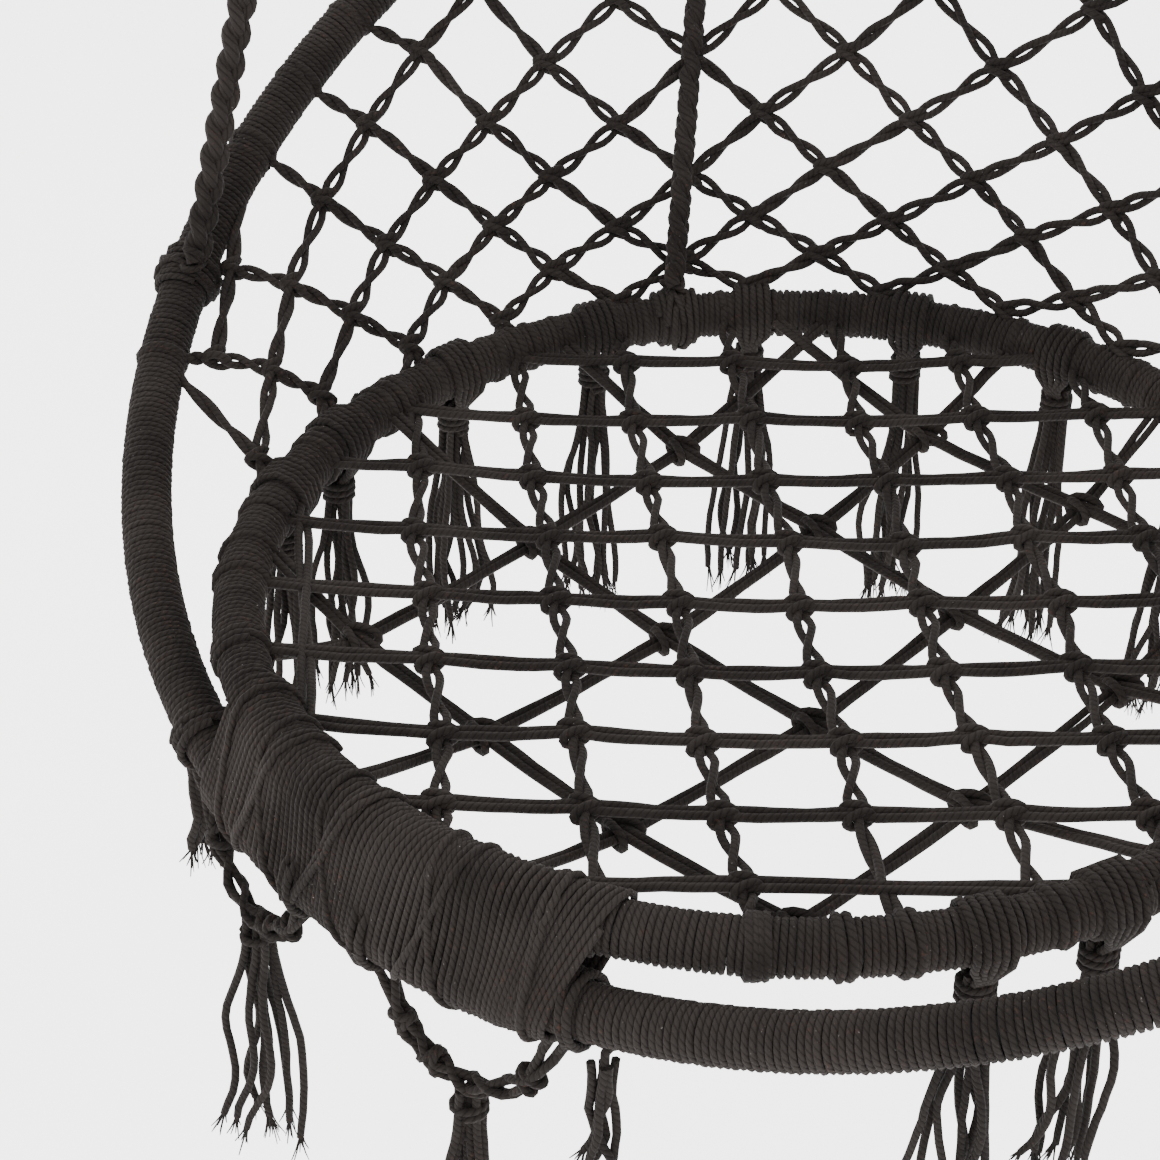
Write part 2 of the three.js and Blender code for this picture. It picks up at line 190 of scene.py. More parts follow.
class Graph:
    """Adds nodes to a tree and links them."""

    def __init__(self, tree):
        self.tree = tree

    def add(self, kind, inputs=None, **settings):
        node = self.tree.nodes.new(kind)
        for key, value in settings.items():
            setattr(node, key, value)
        for key, value in (inputs or {}).items():
            self.put(self.socket(node.inputs, key), value)
        return node

    @staticmethod
    def socket(sockets, key):
        if isinstance(key, int):
            return sockets[key]
        return next(s for s in sockets if s.name == key and s.enabled)

    def put(self, socket, value):
        if isinstance(value, bpy.types.NodeSocket):
            self.tree.links.new(value, socket)
        elif isinstance(value, bpy.types.Node):
            self.tree.links.new(self.first(value), socket)
        else:
            socket.default_value = value

    @staticmethod
    def first(node):
        return next(s for s in node.outputs if s.enabled)

    def math(self, operation, *values, clamp=False):
        node = self.add("ShaderNodeMath", operation=operation, use_clamp=clamp)
        for i, value in enumerate(values):
            self.put(node.inputs[i], value)
        return node.outputs[0]

    def times(self, a, b, **settings):
        return self.math("MULTIPLY", a, b, **settings)

    def plus(self, a, b):
        return self.math("ADD", a, b)

    def minus(self, a, b):
        return self.math("SUBTRACT", a, b)

    def over(self, a, b):
        return self.math("DIVIDE", a, b)

    def vector(self, x=0.0, y=0.0, z=0.0):
        return self.add("ShaderNodeCombineXYZ", {0: x, 1: y, 2: z}).outputs[0]

    def split(self, value):
        return self.add("ShaderNodeSeparateXYZ", {0: value}).outputs

    def mix(self, factor, a, b, blend="MIX"):
        node = self.add("ShaderNodeMix", data_type="RGBA", blend_type=blend)
        self.put(self.socket(node.inputs, "Factor"), factor)
        self.put(self.socket(node.inputs, "A"), a)
        self.put(self.socket(node.inputs, "B"), b)
        return self.socket(node.outputs, "Result")

    def ramp(self, value, low, high):
        node = self.add("ShaderNodeMapRange", {"Value": value, "From Min": low, "From Max": high},
                        interpolation_type="SMOOTHSTEP")
        return node.outputs[0]

    def noise(self, vector, scale, detail=2.0, roughness=0.5):
        node = self.add("ShaderNodeTexNoise", {
            "Vector": vector, "Scale": scale, "Detail": detail, "Roughness": roughness})
        return self.socket(node.outputs, "Fac")


def built_once(name):
    """The tree of this name is made the first time that it is asked for."""
    def keep(make):
        return lambda: bpy.data.node_groups.get(name) or make(name)
    return keep


def new_tree(name, kind, inputs, outputs):
    tree = bpy.data.node_groups.new(name, kind)
    for label, socket_type, default in inputs:
        socket = tree.interface.new_socket(label, in_out="INPUT",
                                           socket_type="NodeSocket" + socket_type)
        if default is not None:
            socket.default_value = default
    for label, socket_type in outputs:
        tree.interface.new_socket(label, in_out="OUTPUT", socket_type="NodeSocket" + socket_type)
    graph = Graph(tree)
    return graph, graph.add("NodeGroupInput").outputs, graph.add("NodeGroupOutput").inputs


def shape_tree(name, inputs):
    """A Geometry Nodes tree. It takes a path or points and a material, besides these inputs."""
    return new_tree(name, "GeometryNodeTree", [
        ("Geometry", "Geometry", None), *inputs, ("Material", "Material", None),
    ], [("Geometry", "Geometry")])


@built_once("Laid Cord")
def laid_cord_tree(name):
    """Turns each chain of edges into a round cord, with its lay written as a UV map."""
    g, given, result = shape_tree(name, [
        ("Cord Radius", "Float", 0.002),
        ("Sides", "Int", 6),
        ("Wander", "Float", 0.0),
        ("Seed", "Int", 1),
    ])
    curve = g.add("GeometryNodeMeshToCurve", {"Mesh": given["Geometry"]})
    place = g.add("GeometryNodeInputPosition")
    shifted = g.add("ShaderNodeVectorMath", {0: place, 1: g.vector(given["Seed"], 0.0, 0.0)},
                    operation="ADD")
    stray = g.add("ShaderNodeTexNoise", {"Vector": shifted, "Scale": 70.0, "Detail": 1.0})
    centred = g.add("ShaderNodeVectorMath",
                    {0: g.socket(stray.outputs, "Color"), 1: (0.5, 0.5, 0.5)},
                    operation="SUBTRACT")
    offset = g.add("ShaderNodeVectorMath", {0: centred, "Scale": given["Wander"]},
                   operation="SCALE")
    moved = g.add("GeometryNodeSetPosition", {"Geometry": curve, "Offset": offset})
    along = g.add("GeometryNodeSplineParameter").outputs["Length"]
    marked = g.add("GeometryNodeStoreNamedAttribute",
                   {"Geometry": moved, "Name": "along", "Value": along},
                   data_type="FLOAT", domain="POINT")
    circle = g.add("GeometryNodeCurvePrimitiveCircle",
                   {"Resolution": given["Sides"], "Radius": 1.0})
    profile = g.add("GeometryNodeStoreNamedAttribute",
                    {"Geometry": circle, "Name": "spoke",
                     "Value": g.add("GeometryNodeInputPosition")},
                    data_type="FLOAT_VECTOR", domain="POINT")
    thickness = g.add("GeometryNodeInputNamedAttribute", {"Name": "thickness"},
                      data_type="FLOAT")
    skin = g.add("GeometryNodeCurveToMesh", {
        "Curve": marked, "Profile Curve": profile, "Fill Caps": True,
        "Scale": g.times(thickness, given["Cord Radius"])})
    spoke = g.add("GeometryNodeInputNamedAttribute", {"Name": "spoke"},
                  data_type="FLOAT_VECTOR")
    middle = g.add("GeometryNodeFieldOnDomain", {"Value": spoke},
                   data_type="FLOAT_VECTOR", domain="FACE")
    at_corner = g.split(g.first(spoke))
    at_face = g.split(g.first(middle))
    corner_angle = g.math("ARCTAN2", at_corner[1], at_corner[0])
    face_angle = g.math("ARCTAN2", at_face[1], at_face[0])
    turn = g.math("WRAP", g.minus(corner_angle, face_angle), math.pi, -math.pi)
    around = g.over(g.plus(face_angle, turn), 2 * math.pi)
    length = g.add("GeometryNodeInputNamedAttribute", {"Name": "along"}, data_type="FLOAT")
    mapped = g.add("GeometryNodeStoreNamedAttribute",
                   {"Geometry": skin, "Name": "cord_uv",
                    "Value": g.vector(around, g.first(length), 0.0)},
                   data_type="FLOAT2", domain="CORNER")
    smooth = g.add("GeometryNodeSetShadeSmooth", {"Geometry": mapped})
    real = g.add("GeometryNodeRealizeInstances", {"Geometry": smooth})
    done = g.add("GeometryNodeSetMaterial",
                 {"Geometry": real, "Material": given["Material"]})
    g.put(result["Geometry"], done)
    return g.tree


def cover_with_cord(g, given, result, path, radius):
    """Ends a tree with the laid cord along its path."""
    cord = g.add("GeometryNodeGroup", node_tree=laid_cord_tree())
    for label, value in (("Geometry", path), ("Cord Radius", radius),
                         ("Sides", given["Sides"]), ("Material", given["Material"])):
        g.put(cord.inputs[label], value)
    g.put(result["Geometry"], cord)
    return g.tree


@built_once("Wound Hoop")
def wound_hoop_tree(name):
    """Winds one long cord round a tilted hoop, turn beside turn."""
    g, given, result = shape_tree(name, [
        ("Hoop Radius", "Float", 0.3),
        ("Wind Radius", "Float", 0.012),
        ("Cord Radius", "Float", 0.002),
        ("Turns", "Int", 100),
        ("Points Per Turn", "Int", 16),
        ("Sides", "Int", 6),
        ("Start Angle", "Float", 0.0),
        ("End Angle", "Float", 6.283),
        ("Tilt", "Float", 0.0),
        ("Centre", "Vector", None),
        ("Unevenness", "Float", 0.0),
        ("Seed", "Int", 1),
    ])
    count = g.times(given["Turns"], given["Points Per Turn"])
    line = g.add("GeometryNodeMeshLine", {"Count": g.plus(count, 1.0)})
    even = g.add("GeometryNodeStoreNamedAttribute",
                 {"Geometry": line, "Name": "thickness", "Value": 1.0},
                 data_type="FLOAT", domain="POINT")
    share = g.over(g.first(g.add("GeometryNodeInputIndex")), count)
    laps = g.times(share, given["Turns"])
    jitter = g.add("ShaderNodeTexNoise",
                   {"Vector": g.vector(g.times(laps, 0.61), given["Seed"], 0.0),
                    "Scale": 1.0, "Detail": 2.0})
    loose = g.split(g.socket(jitter.outputs, "Color"))
    span = g.minus(given["End Angle"], given["Start Angle"])
    sway = g.over(g.times(g.minus(loose[1], 0.5),
                          g.times(given["Unevenness"], 3.0)),
                  given["Hoop Radius"])
    hoop_angle = g.plus(g.plus(given["Start Angle"],
                               g.times(span, share)), sway)
    wind_angle = g.times(laps, 2 * math.pi)
    swell = g.times(g.minus(loose[0], 0.5),
                    g.times(given["Unevenness"], 3.0))
    wind = g.plus(given["Wind Radius"], swell)
    reach = g.plus(given["Hoop Radius"],
                   g.times(wind, g.math("COSINE", wind_angle)))
    x = g.times(reach, g.math("SINE", hoop_angle))
    y = g.times(g.times(reach, g.math("COSINE", hoop_angle)), -1.0)
    z = g.times(wind, g.math("SINE", wind_angle))
    wound = g.add("GeometryNodeSetPosition", {"Geometry": even, "Position": g.vector(x, y, z)})
    turned = g.add("GeometryNodeTransform",
                   {"Geometry": wound, "Translation": given["Centre"],
                    "Rotation": g.vector(given["Tilt"], 0.0, 0.0)})
    return cover_with_cord(g, given, result, turned, given["Cord Radius"])


@built_once("Braided Rope")
def braid_tree(name):
    """Braids three strands flat along a path."""
    g, given, result = shape_tree(name, [
        ("Strand Radius", "Float", 0.003),
        ("Half Width", "Float", 0.0045),
        ("Half Depth", "Float", 0.0025),
        ("Pitch", "Float", 0.04),
        ("Step", "Float", 0.003),
        ("Sides", "Int", 8),
    ])
    curve = g.add("GeometryNodeMeshToCurve", {"Mesh": given["Geometry"]})
    fine = g.add("GeometryNodeResampleCurve", {"Curve": curve}, mode="LENGTH")
    g.put(fine.inputs["Length"], given["Step"])
    even = g.add("GeometryNodeStoreNamedAttribute",
                 {"Geometry": fine, "Name": "thickness", "Value": 1.0},
                 data_type="FLOAT", domain="POINT")
    length = g.add("GeometryNodeSplineParameter").outputs["Length"]
    phase = g.times(g.over(length, given["Pitch"]), 2 * math.pi)
    normal = g.first(g.add("GeometryNodeInputNormal"))
    tangent = g.first(g.add("GeometryNodeInputTangent"))
    side = g.add("ShaderNodeVectorMath", {0: tangent, 1: normal}, operation="CROSS_PRODUCT")
    joined = g.add("GeometryNodeJoinGeometry")
    for i in range(3):
        turn = g.plus(phase, 2 * math.pi * i / 3)
        across = g.times(g.math("SINE", turn), given["Half Width"])
        deep = g.times(g.math("SINE", g.times(turn, 2.0)),
                       given["Half Depth"])
        wide = g.add("ShaderNodeVectorMath", {0: side, "Scale": across}, operation="SCALE")
        thick = g.add("ShaderNodeVectorMath", {0: normal, "Scale": deep}, operation="SCALE")
        offset = g.add("ShaderNodeVectorMath", {0: wide, 1: thick}, operation="ADD")
        strand = g.add("GeometryNodeSetPosition", {"Geometry": even, "Offset": offset})
        g.tree.links.new(g.first(strand), joined.inputs[0])
    as_mesh = g.add("GeometryNodeCurveToMesh", {"Curve": joined})
    return cover_with_cord(g, given, result, as_mesh, given["Strand Radius"])


@built_once("Welded Ring")
def ring_tree(name):
    """A round steel ring with a low weld bead where the bar's ends meet."""
    g, given, result = shape_tree(name, [
        ("Ring Radius", "Float", 0.024),
        ("Bar Radius", "Float", 0.004),
        ("Bead", "Float", 0.12),
    ])
    points = g.first(g.add("GeometryNodeInputPosition"))
    circle = g.add("GeometryNodeCurvePrimitiveCircle",
                   {"Resolution": 120, "Radius": given["Ring Radius"]})
    bar = g.add("GeometryNodeCurvePrimitiveCircle",
                {"Resolution": 20, "Radius": given["Bar Radius"]})
    factor = g.add("GeometryNodeSplineParameter").outputs["Factor"]
    near = g.minus(1.0, g.ramp(g.math("ABSOLUTE", g.minus(factor, 0.25)),
                               0.0, 0.022))
    ripple = g.noise(points, 900.0)
    swell = g.plus(1.0, g.times(g.times(near, given["Bead"]),
                                g.plus(ripple, 0.5)))
    skin = g.add("GeometryNodeCurveToMesh",
                 {"Curve": circle, "Profile Curve": bar, "Scale": swell})
    upright = g.add("GeometryNodeTransform", {"Geometry": skin,
                                              "Rotation": (math.pi / 2, 0.0, 0.0)})
    held = g.add("GeometryNodeMeshToPoints", {"Mesh": given["Geometry"]})
    copies = g.add("GeometryNodeInstanceOnPoints", {"Points": held, "Instance": upright})
    real = g.add("GeometryNodeRealizeInstances", {"Geometry": copies})
    smooth = g.add("GeometryNodeSetShadeSmooth", {"Geometry": real})
    done = g.add("GeometryNodeSetMaterial",
                 {"Geometry": smooth, "Material": given["Material"]})
    g.put(result["Geometry"], done)
    return g.tree


def grow(name, tree, values, mesh):
    """Runs a tree on a mesh with these inputs and returns the result as a plain object."""
    seed_object = bpy.data.objects.new(name + "_path", mesh)
    bpy.context.scene.collection.objects.link(seed_object)
    modifier = seed_object.modifiers.new("grow", "NODES")
    modifier.node_group = tree
    left = dict(values)
    for item in tree.interface.items_tree:
        if item.item_type == "SOCKET" and item.in_out == "INPUT" and item.name in left:
            modifier[item.identifier] = left.pop(item.name)
    if left:
        raise RuntimeError(f"{name}: {tree.name} has no input {', '.join(left)}")
    graph = bpy.context.evaluated_depsgraph_get()
    made = bpy.data.meshes.new_from_object(seed_object.evaluated_get(graph), depsgraph=graph)
    seed_object.modifiers.remove(modifier)
    bpy.data.objects.remove(seed_object)
    if not made.polygons:
        raise RuntimeError(f"{name}: the tree made no faces")
    made.name = name
    piece = bpy.data.objects.new(name, made)
    bpy.context.scene.collection.objects.link(piece)
    return piece


def chain_mesh(name, chains):
    """A mesh of edge chains. A chain is a list of points, or (points, thicknesses)."""
    points, edges, thickness = [], [], []
    for chain in chains:
        line, thick = chain if isinstance(chain, tuple) else (chain, None)
        start = len(points)
        points.extend(line)
        edges.extend((start + i, start + i + 1) for i in range(len(line) - 1))
        thickness.extend(thick or [1.0] * len(line))
    mesh = bpy.data.meshes.new(name)
    mesh.from_pydata([tuple(p) for p in points], edges, [])
    layer = mesh.attributes.new("thickness", "FLOAT", "POINT")
    layer.data.foreach_set("value", thickness)
    return mesh


def cords(name, chains, diameter, material, wander=0.0, sides=None, seed=1):
    """Makes cords that follow these chains, as one piece."""
    scene = bpy.context.scene
    return grow(name, laid_cord_tree(), {
        "Cord Radius": diameter / 2, "Sides": sides or scene.seat_cords.cord_sides,
        "Wander": wander, "Seed": seed, "Material": material,
    }, chain_mesh(name, chains))


def settle(piece, body, slot, *nodes):
    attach(piece, body)
    finish_piece(piece, slot, *nodes)


def finish_piece(piece, slot, *nodes):
    if nodes:
        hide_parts(*nodes)


# ---- finishes ----

@built_once("Cord Lay")
def lay_group(name):
    """Lay of a twisted cord: the grooves between its plies and the fibres along them; the groove
    mask darkens the cord colour as painted shade.
    """
    g, given, result = new_tree(name, "ShaderNodeTree", [
        ("Cord UV", "Vector", None),
        ("Plies", "Float", 3.0),
        ("Lay Length", "Float", 0.0125),
    ], [("Painted Groove Shade", "Float"), ("Fibre", "Float"),
        ("Height", "Float")])
    around, along, _ = g.split(given["Cord UV"])
    turn = g.plus(around, g.over(along, given["Lay Length"]))
    ply = g.times(turn, given["Plies"])
    crest = g.math("ABSOLUTE", g.math("SINE", g.times(ply, math.pi)))
    round_ply = g.math("POWER", crest, 0.55)
    streak = g.noise(g.vector(g.times(ply, 5.0),
                              g.times(along, 160.0), 0.0), 1.0, 3.0, 0.6)
    # The groove mask drives the painted shade in the cotton colour.
    g.put(result["Painted Groove Shade"], g.minus(1.0, g.ramp(crest, 0.05, 0.6)))
    g.put(result["Fibre"], streak)
    g.put(result["Height"], g.plus(round_ply, g.times(streak, 0.35)))
    return g.tree


@built_once("Dyed Cotton")
def cotton_group(name):
    """Fading, brown fuzz and pale lint on dyed cotton, and painted shade darkening the grooves
    between plies.
    """
    g, given, result = new_tree(name, "ShaderNodeTree", [
        ("Position", "Vector", None),
        ("Painted Groove Shade", "Float", 0.0),
        ("Fibre", "Float", 0.5),
        ("Colour", "Color", (0.03, 0.025, 0.02, 1.0)),
        ("Faded", "Color", (0.05, 0.045, 0.04, 1.0)),
        ("Fuzz", "Color", (0.06, 0.035, 0.03, 1.0)),
        ("Lint", "Color", (0.33, 0.31, 0.29, 1.0)),
        ("Wear", "Float", 1.0),
    ], [("Color", "Color"), ("Roughness", "Float"),
        ("Height", "Float")])
    place = given["Position"]
    patches = g.ramp(g.noise(place, 11.0, 3.0), 0.38, 0.68)
    dye = g.noise(place, 95.0, 3.0, 0.65)
    base = g.mix(g.times(patches, given["Wear"], clamp=True),
                 given["Colour"], given["Faded"])
    base = g.mix(g.ramp(g.times(given["Fibre"], dye), 0.2, 0.55), base,
                 given["Faded"])
    fuzz = g.ramp(g.noise(place, 330.0, 3.0, 0.7), 0.56, 0.74)
    clump = g.ramp(g.noise(place, 34.0, 1.0), 0.45, 0.62)
    base = g.mix(g.times(g.times(fuzz, clump), 0.8), base, given["Fuzz"])
    speck = g.ramp(g.noise(place, 820.0, 2.0, 0.6), 0.70, 0.80)
    rare = g.ramp(g.noise(place, 62.0, 1.0), 0.50, 0.64)
    lint = g.times(g.times(speck, rare),
                   g.times(given["Wear"], 0.55), clamp=True)
    base = g.mix(lint, base, given["Lint"])
    # Painted shade: the colour is darkened in the grooves between plies, where shade falls.
    dark = g.times(given["Painted Groove Shade"], 0.6)
    painted_groove_shade = g.mix(dark, (1, 1, 1, 1), (0.3, 0.27, 0.26, 1))
    g.put(result["Color"], g.mix(1.0, base, painted_groove_shade, "MULTIPLY"))
    g.put(result["Roughness"], g.minus(0.97, g.times(dye, 0.14)))
    g.put(result["Height"], g.times(fuzz, 0.5))
    return g.tree


@built_once("Handled Metal")
def wear_group(name):
    """Fine scratches and dull patches on metal or paint."""
    g, given, result = new_tree(name, "ShaderNodeTree", [
        ("Position", "Vector", None),
        ("Colour", "Color", (0.5, 0.5, 0.5, 1.0)),
        ("Worn", "Color", (0.6, 0.6, 0.6, 1.0)),
        ("Smooth", "Float", 0.22),
        ("Rough", "Float", 0.45),
    ], [("Color", "Color"), ("Roughness", "Float"),
        ("Height", "Float")])
    place = given["Position"]
    dull = g.ramp(g.noise(place, 55.0, 4.0, 0.6), 0.4, 0.65)
    stretched = g.add("ShaderNodeMapping", {"Vector": place, "Scale": (900.0, 120.0, 140.0)})
    scratch = g.ramp(g.noise(stretched, 1.0, 3.0, 0.7), 0.62, 0.72)
    g.put(result["Color"], g.mix(g.math("MAXIMUM", dull, scratch), given["Colour"],
                                 given["Worn"]))
    spread = g.minus(given["Rough"], given["Smooth"])
    g.put(result["Roughness"], g.plus(given["Smooth"],
                                      g.times(dull, spread)))
    g.put(result["Height"], g.times(scratch, -0.4))
    return g.tree


def four(colour):
    return (colour[0], colour[1], colour[2], 1.0)


def blank_material(name):
    material = bpy.data.materials.new(name)
    material.use_nodes = True
    graph = Graph(material.node_tree)
    return material, graph, material.node_tree.nodes["Principled BSDF"]


def hold(surface, **values):
    """Values that are the same all over a surface, on the shader's own sockets."""
    for label, value in values.items():
        surface.inputs[label.replace("_", " ")].default_value = value


def cotton(name, plies=3.0, lay=None, depth=0.0006, wear=1.0, tone=1.0):
    """The dyed cotton of one kind of cord."""
    if name in bpy.data.materials:
        return bpy.data.materials[name]
    scene = bpy.context.scene
    finish = scene.seat_finishes
    material, g, surface = blank_material(name)
    place = g.add("ShaderNodeTexCoord").outputs["Object"]
    uv = g.add("ShaderNodeUVMap", uv_map="cord_uv").outputs[0]
    lay_node = g.add("ShaderNodeGroup", node_tree=lay_group())
    g.put(lay_node.inputs["Cord UV"], uv)
    g.put(lay_node.inputs["Plies"], plies)
    g.put(lay_node.inputs["Lay Length"], lay or scene.seat_cords.lay_length)
    dye = g.add("ShaderNodeGroup", node_tree=cotton_group())
    g.put(dye.inputs["Position"], place)
    g.put(dye.inputs["Painted Groove Shade"], lay_node.outputs["Painted Groove Shade"])
    g.put(dye.inputs["Fibre"], lay_node.outputs["Fibre"])
    for label, colour in (("Colour", finish.cord_colour), ("Faded", finish.faded_colour),
                          ("Fuzz", finish.fuzz_colour)):
        g.put(dye.inputs[label], four([c * tone for c in colour]))
    g.put(dye.inputs["Lint"], four(finish.lint_colour))
    g.put(dye.inputs["Wear"], wear)
    height = g.plus(lay_node.outputs["Height"], dye.outputs["Height"])
    bump = g.add("ShaderNodeBump", {"Height": height, "Strength": 0.85, "Distance": depth})
    g.put(surface.inputs["Base Color"], dye.outputs["Color"])
    g.put(surface.inputs["Roughness"], dye.outputs["Roughness"])
    g.put(surface.inputs["Normal"], bump)
    hold(surface, Specular_IOR_Level=0.08, Sheen_Weight=0.02, Sheen_Roughness=0.45,
         Sheen_Tint=(0.80, 0.70, 0.66, 1.0))
    return material


def metal(name, colour, worn, smooth, rough, metallic):
    """Bare or painted steel that has been handled."""
    if name in bpy.data.materials:
        return bpy.data.materials[name]
    material, g, surface = blank_material(name)
    place = g.add("ShaderNodeTexCoord").outputs["Object"]
    wear = g.add("ShaderNodeGroup", node_tree=wear_group())
    for label, value in (("Position", place), ("Colour", colour), ("Worn", worn),
                         ("Smooth", smooth), ("Rough", rough)):
        g.put(wear.inputs[label], value)
    bump = g.add("ShaderNodeBump", {"Height": wear.outputs["Height"], "Strength": 0.4,
                                    "Distance": 0.0002})
    g.put(surface.inputs["Base Color"], wear.outputs["Color"])
    g.put(surface.inputs["Roughness"], wear.outputs["Roughness"])
    g.put(surface.inputs["Normal"], bump)
    hold(surface, Metallic=metallic)
    return material


def winding_cotton():
    return cotton("wound_cotton", depth=0.0005)


def net_cotton():
    return cotton("net_cotton", depth=0.0005, wear=0.7, tone=1.02)


def rope_cotton():
    return cotton("braided_cotton", plies=6.0, lay=0.030, depth=0.0008, wear=0.8)


def fringe_cotton():
    return cotton("tassel_cotton", depth=0.0007, wear=0.6)


# ---- shapes of cord ----

def smooth_step(value):
    t = min(1.0, max(0.0, value))
    return t * t * (3 - 2 * t)


def mix_points(a, b, t):
    return a + (b - a) * t


def ring_turns(hoop, angle, turns, pitch, radius, rng, start=0.0, lean=0.0, steps=14):
    """Turns of cord round a hoop, centred on an angle of the hoop."""
    count = max(4, int(turns * steps))
    reach = math.degrees(pitch / hoop.radius)
    slip = rng.uniform(-0.3, 0.3)
    line = []
    for i in range(count + 1):
        lap = turns * i / count
        at = angle + reach * (lap - turns / 2)
        wind = 2 * math.pi * lap + start
        swell = radius + 0.0004 * math.sin(5.1 * lap + slip)
        shift = math.degrees(lean * math.cos(wind) / hoop.radius)
        line.append(hoop.at(at + shift, hoop.radius + swell * math.cos(wind),
                            swell * math.sin(wind)))
    return line


def ring_path(centre, axis, u, radius_u, radius_v, turns, rise, start=0.0, steps=12):
    """Turns round an axis, oval in section."""
    v = axis.cross(u).normalized()
    count = max(4, int(turns * steps))
    line = []
    for i in range(count + 1):
        lap = turns * i / count
        a = 2 * math.pi * lap + start
        line.append(centre + u * (radius_u * math.cos(a)) + v * (radius_v * math.sin(a))
                    + axis * (rise * (lap - turns / 2)))
    return line


def square_knot(place, along, normal, width, rng):
    """Two crossed turns drawn tight round the cords that meet at a point."""
    along = along.normalized()
    across = normal.cross(along).normalized()
    normal = along.cross(across)
    chains = []
    for tier, lean in ((-0.5, 1.0), (0.5, -1.0)):
        size = width * rng.uniform(0.9, 1.1)
        tilt = lean * rng.uniform(0.25, 0.5) * width
        first = rng.uniform(-0.5, 0.5)
        line = []
        for i in range(15):
            a = 2 * math.pi * 1.1 * i / 14 + first + (math.pi if tier > 0 else 0)
            line.append(place + across * (size * math.cos(a))
                        + normal * (size * 0.62 * math.sin(a))
                        + along * (tier * width * 0.95 + tilt * math.cos(a)))
        chains.append(line)
    return chains


def crossed_pair(a, b, normal, width, rng, lift=0.0021, steps=11, bow=0.0):
    """Two cords from a to b that cross once halfway and open into an eye at each end."""
    way = (b - a).normalized()
    across = normal.cross(way).normalized()
    normal = way.cross(across)
    eye = width * rng.uniform(0.65, 1.15)
    chains = []
    for sign in (-1, 1):
        line = []
        for i in range(steps + 1):
            t = i / steps
            open_out = (sign * eye * math.sin(2 * math.pi * t)
                        * (0.6 + 0.4 * abs(math.cos(math.pi * t))))
            over = sign * lift * math.cos(2 * math.pi * t) * -1
            line.append(mix_points(a, b, t) + across * open_out
                        + normal * (over + bow * math.sin(math.pi * t)))
        chains.append(line)
    return chains


def loose_tassel(top, length, rng, sizes, spread=0.0175):
    """Cords that hang from a tied head, and the loose yarns at their ends."""
    strands, yarns = [], []
    swing = rng.uniform(-0.004, 0.004)
    for i in range(sizes.strands):
        turn = 2 * math.pi * (i * 0.381966 + rng.uniform(-0.03, 0.03))
        inner = 0.0062 if i >= sizes.strands // 3 else 0.0024
        outer = spread * math.sqrt((i + 0.6) / sizes.strands) * rng.uniform(0.8, 1.15)
        long = length * rng.uniform(0.9, 1.0) - sizes.fray * 0.6
        bend = rng.uniform(-1, 1) * 0.006
        phase = rng.uniform(0, 6.28)
        line, thick = [], []
        count = max(8, int(long / 0.0075))
        for k in range(count + 1):
            t = k / count
            reach = inner * (1 - smooth_step(t * 2.2)) + outer * smooth_step(t * 1.6)
            a = turn + 0.5 * math.sin(2.2 * t + phase)
            wave = bend * math.sin(3.0 * t * math.pi + phase) * t
            line.append(top + Vector((
                reach * math.cos(a) + wave + swing * t * t,
                reach * math.sin(a) + wave * 0.6,
                -long * t)))
            thick.append(1.0 if t < 0.97 else 0.9)
        strands.append((line, thick))
        end, down = line[-1], (line[-1] - line[-2]).normalized()
        for _ in range(sizes.fibres):
            a = rng.uniform(0, 6.28)
            away = Vector((math.cos(a), math.sin(a), 0)) * rng.uniform(0.1, 0.5)
            far = sizes.fray * rng.uniform(0.5, 1.1)
            yarn = []
            for k in range(5):
                t = k / 4
                yarn.append(end + down * (far * t - 0.003) + away * (0.0018 + far * t * t * 0.9)
                            + Vector((0, 0, -0.25 * far * t * t)))
            yarns.append((yarn, [1.0, 1.0, 0.9, 0.75, 0.45]))
    return strands, yarns


def tied_head(top, rng, radius=0.0078, turns=3.2):
    return ring_path(top + Vector((0, 0, -0.011)), -Z_AXIS, X_AXIS, radius, radius, turns, 0.0041,
                     rng.uniform(0, 6.28))


def folded_over(hoop, angle, foot, offset, radius):
    """A cord folded over the hoop, both of its legs running down to a foot."""
    around, out, up = hoop.tangent(angle), hoop.out(angle), hoop.normal
    centre = hoop.at(angle) + around * offset
    aside, halfway = around * offset * 0.45, mix_points(foot, centre, 0.35)
    line = [foot + out * 0.002 + aside, halfway + out * 0.009]
    for i in range(9):
        a = math.radians(-35 + 250 * i / 8)
        line.append(centre + (out * math.cos(a) + up * math.sin(a)) * radius)
    line += [halfway - out * 0.009, foot - out * 0.002 + aside]
    return line


# ---- operators ----

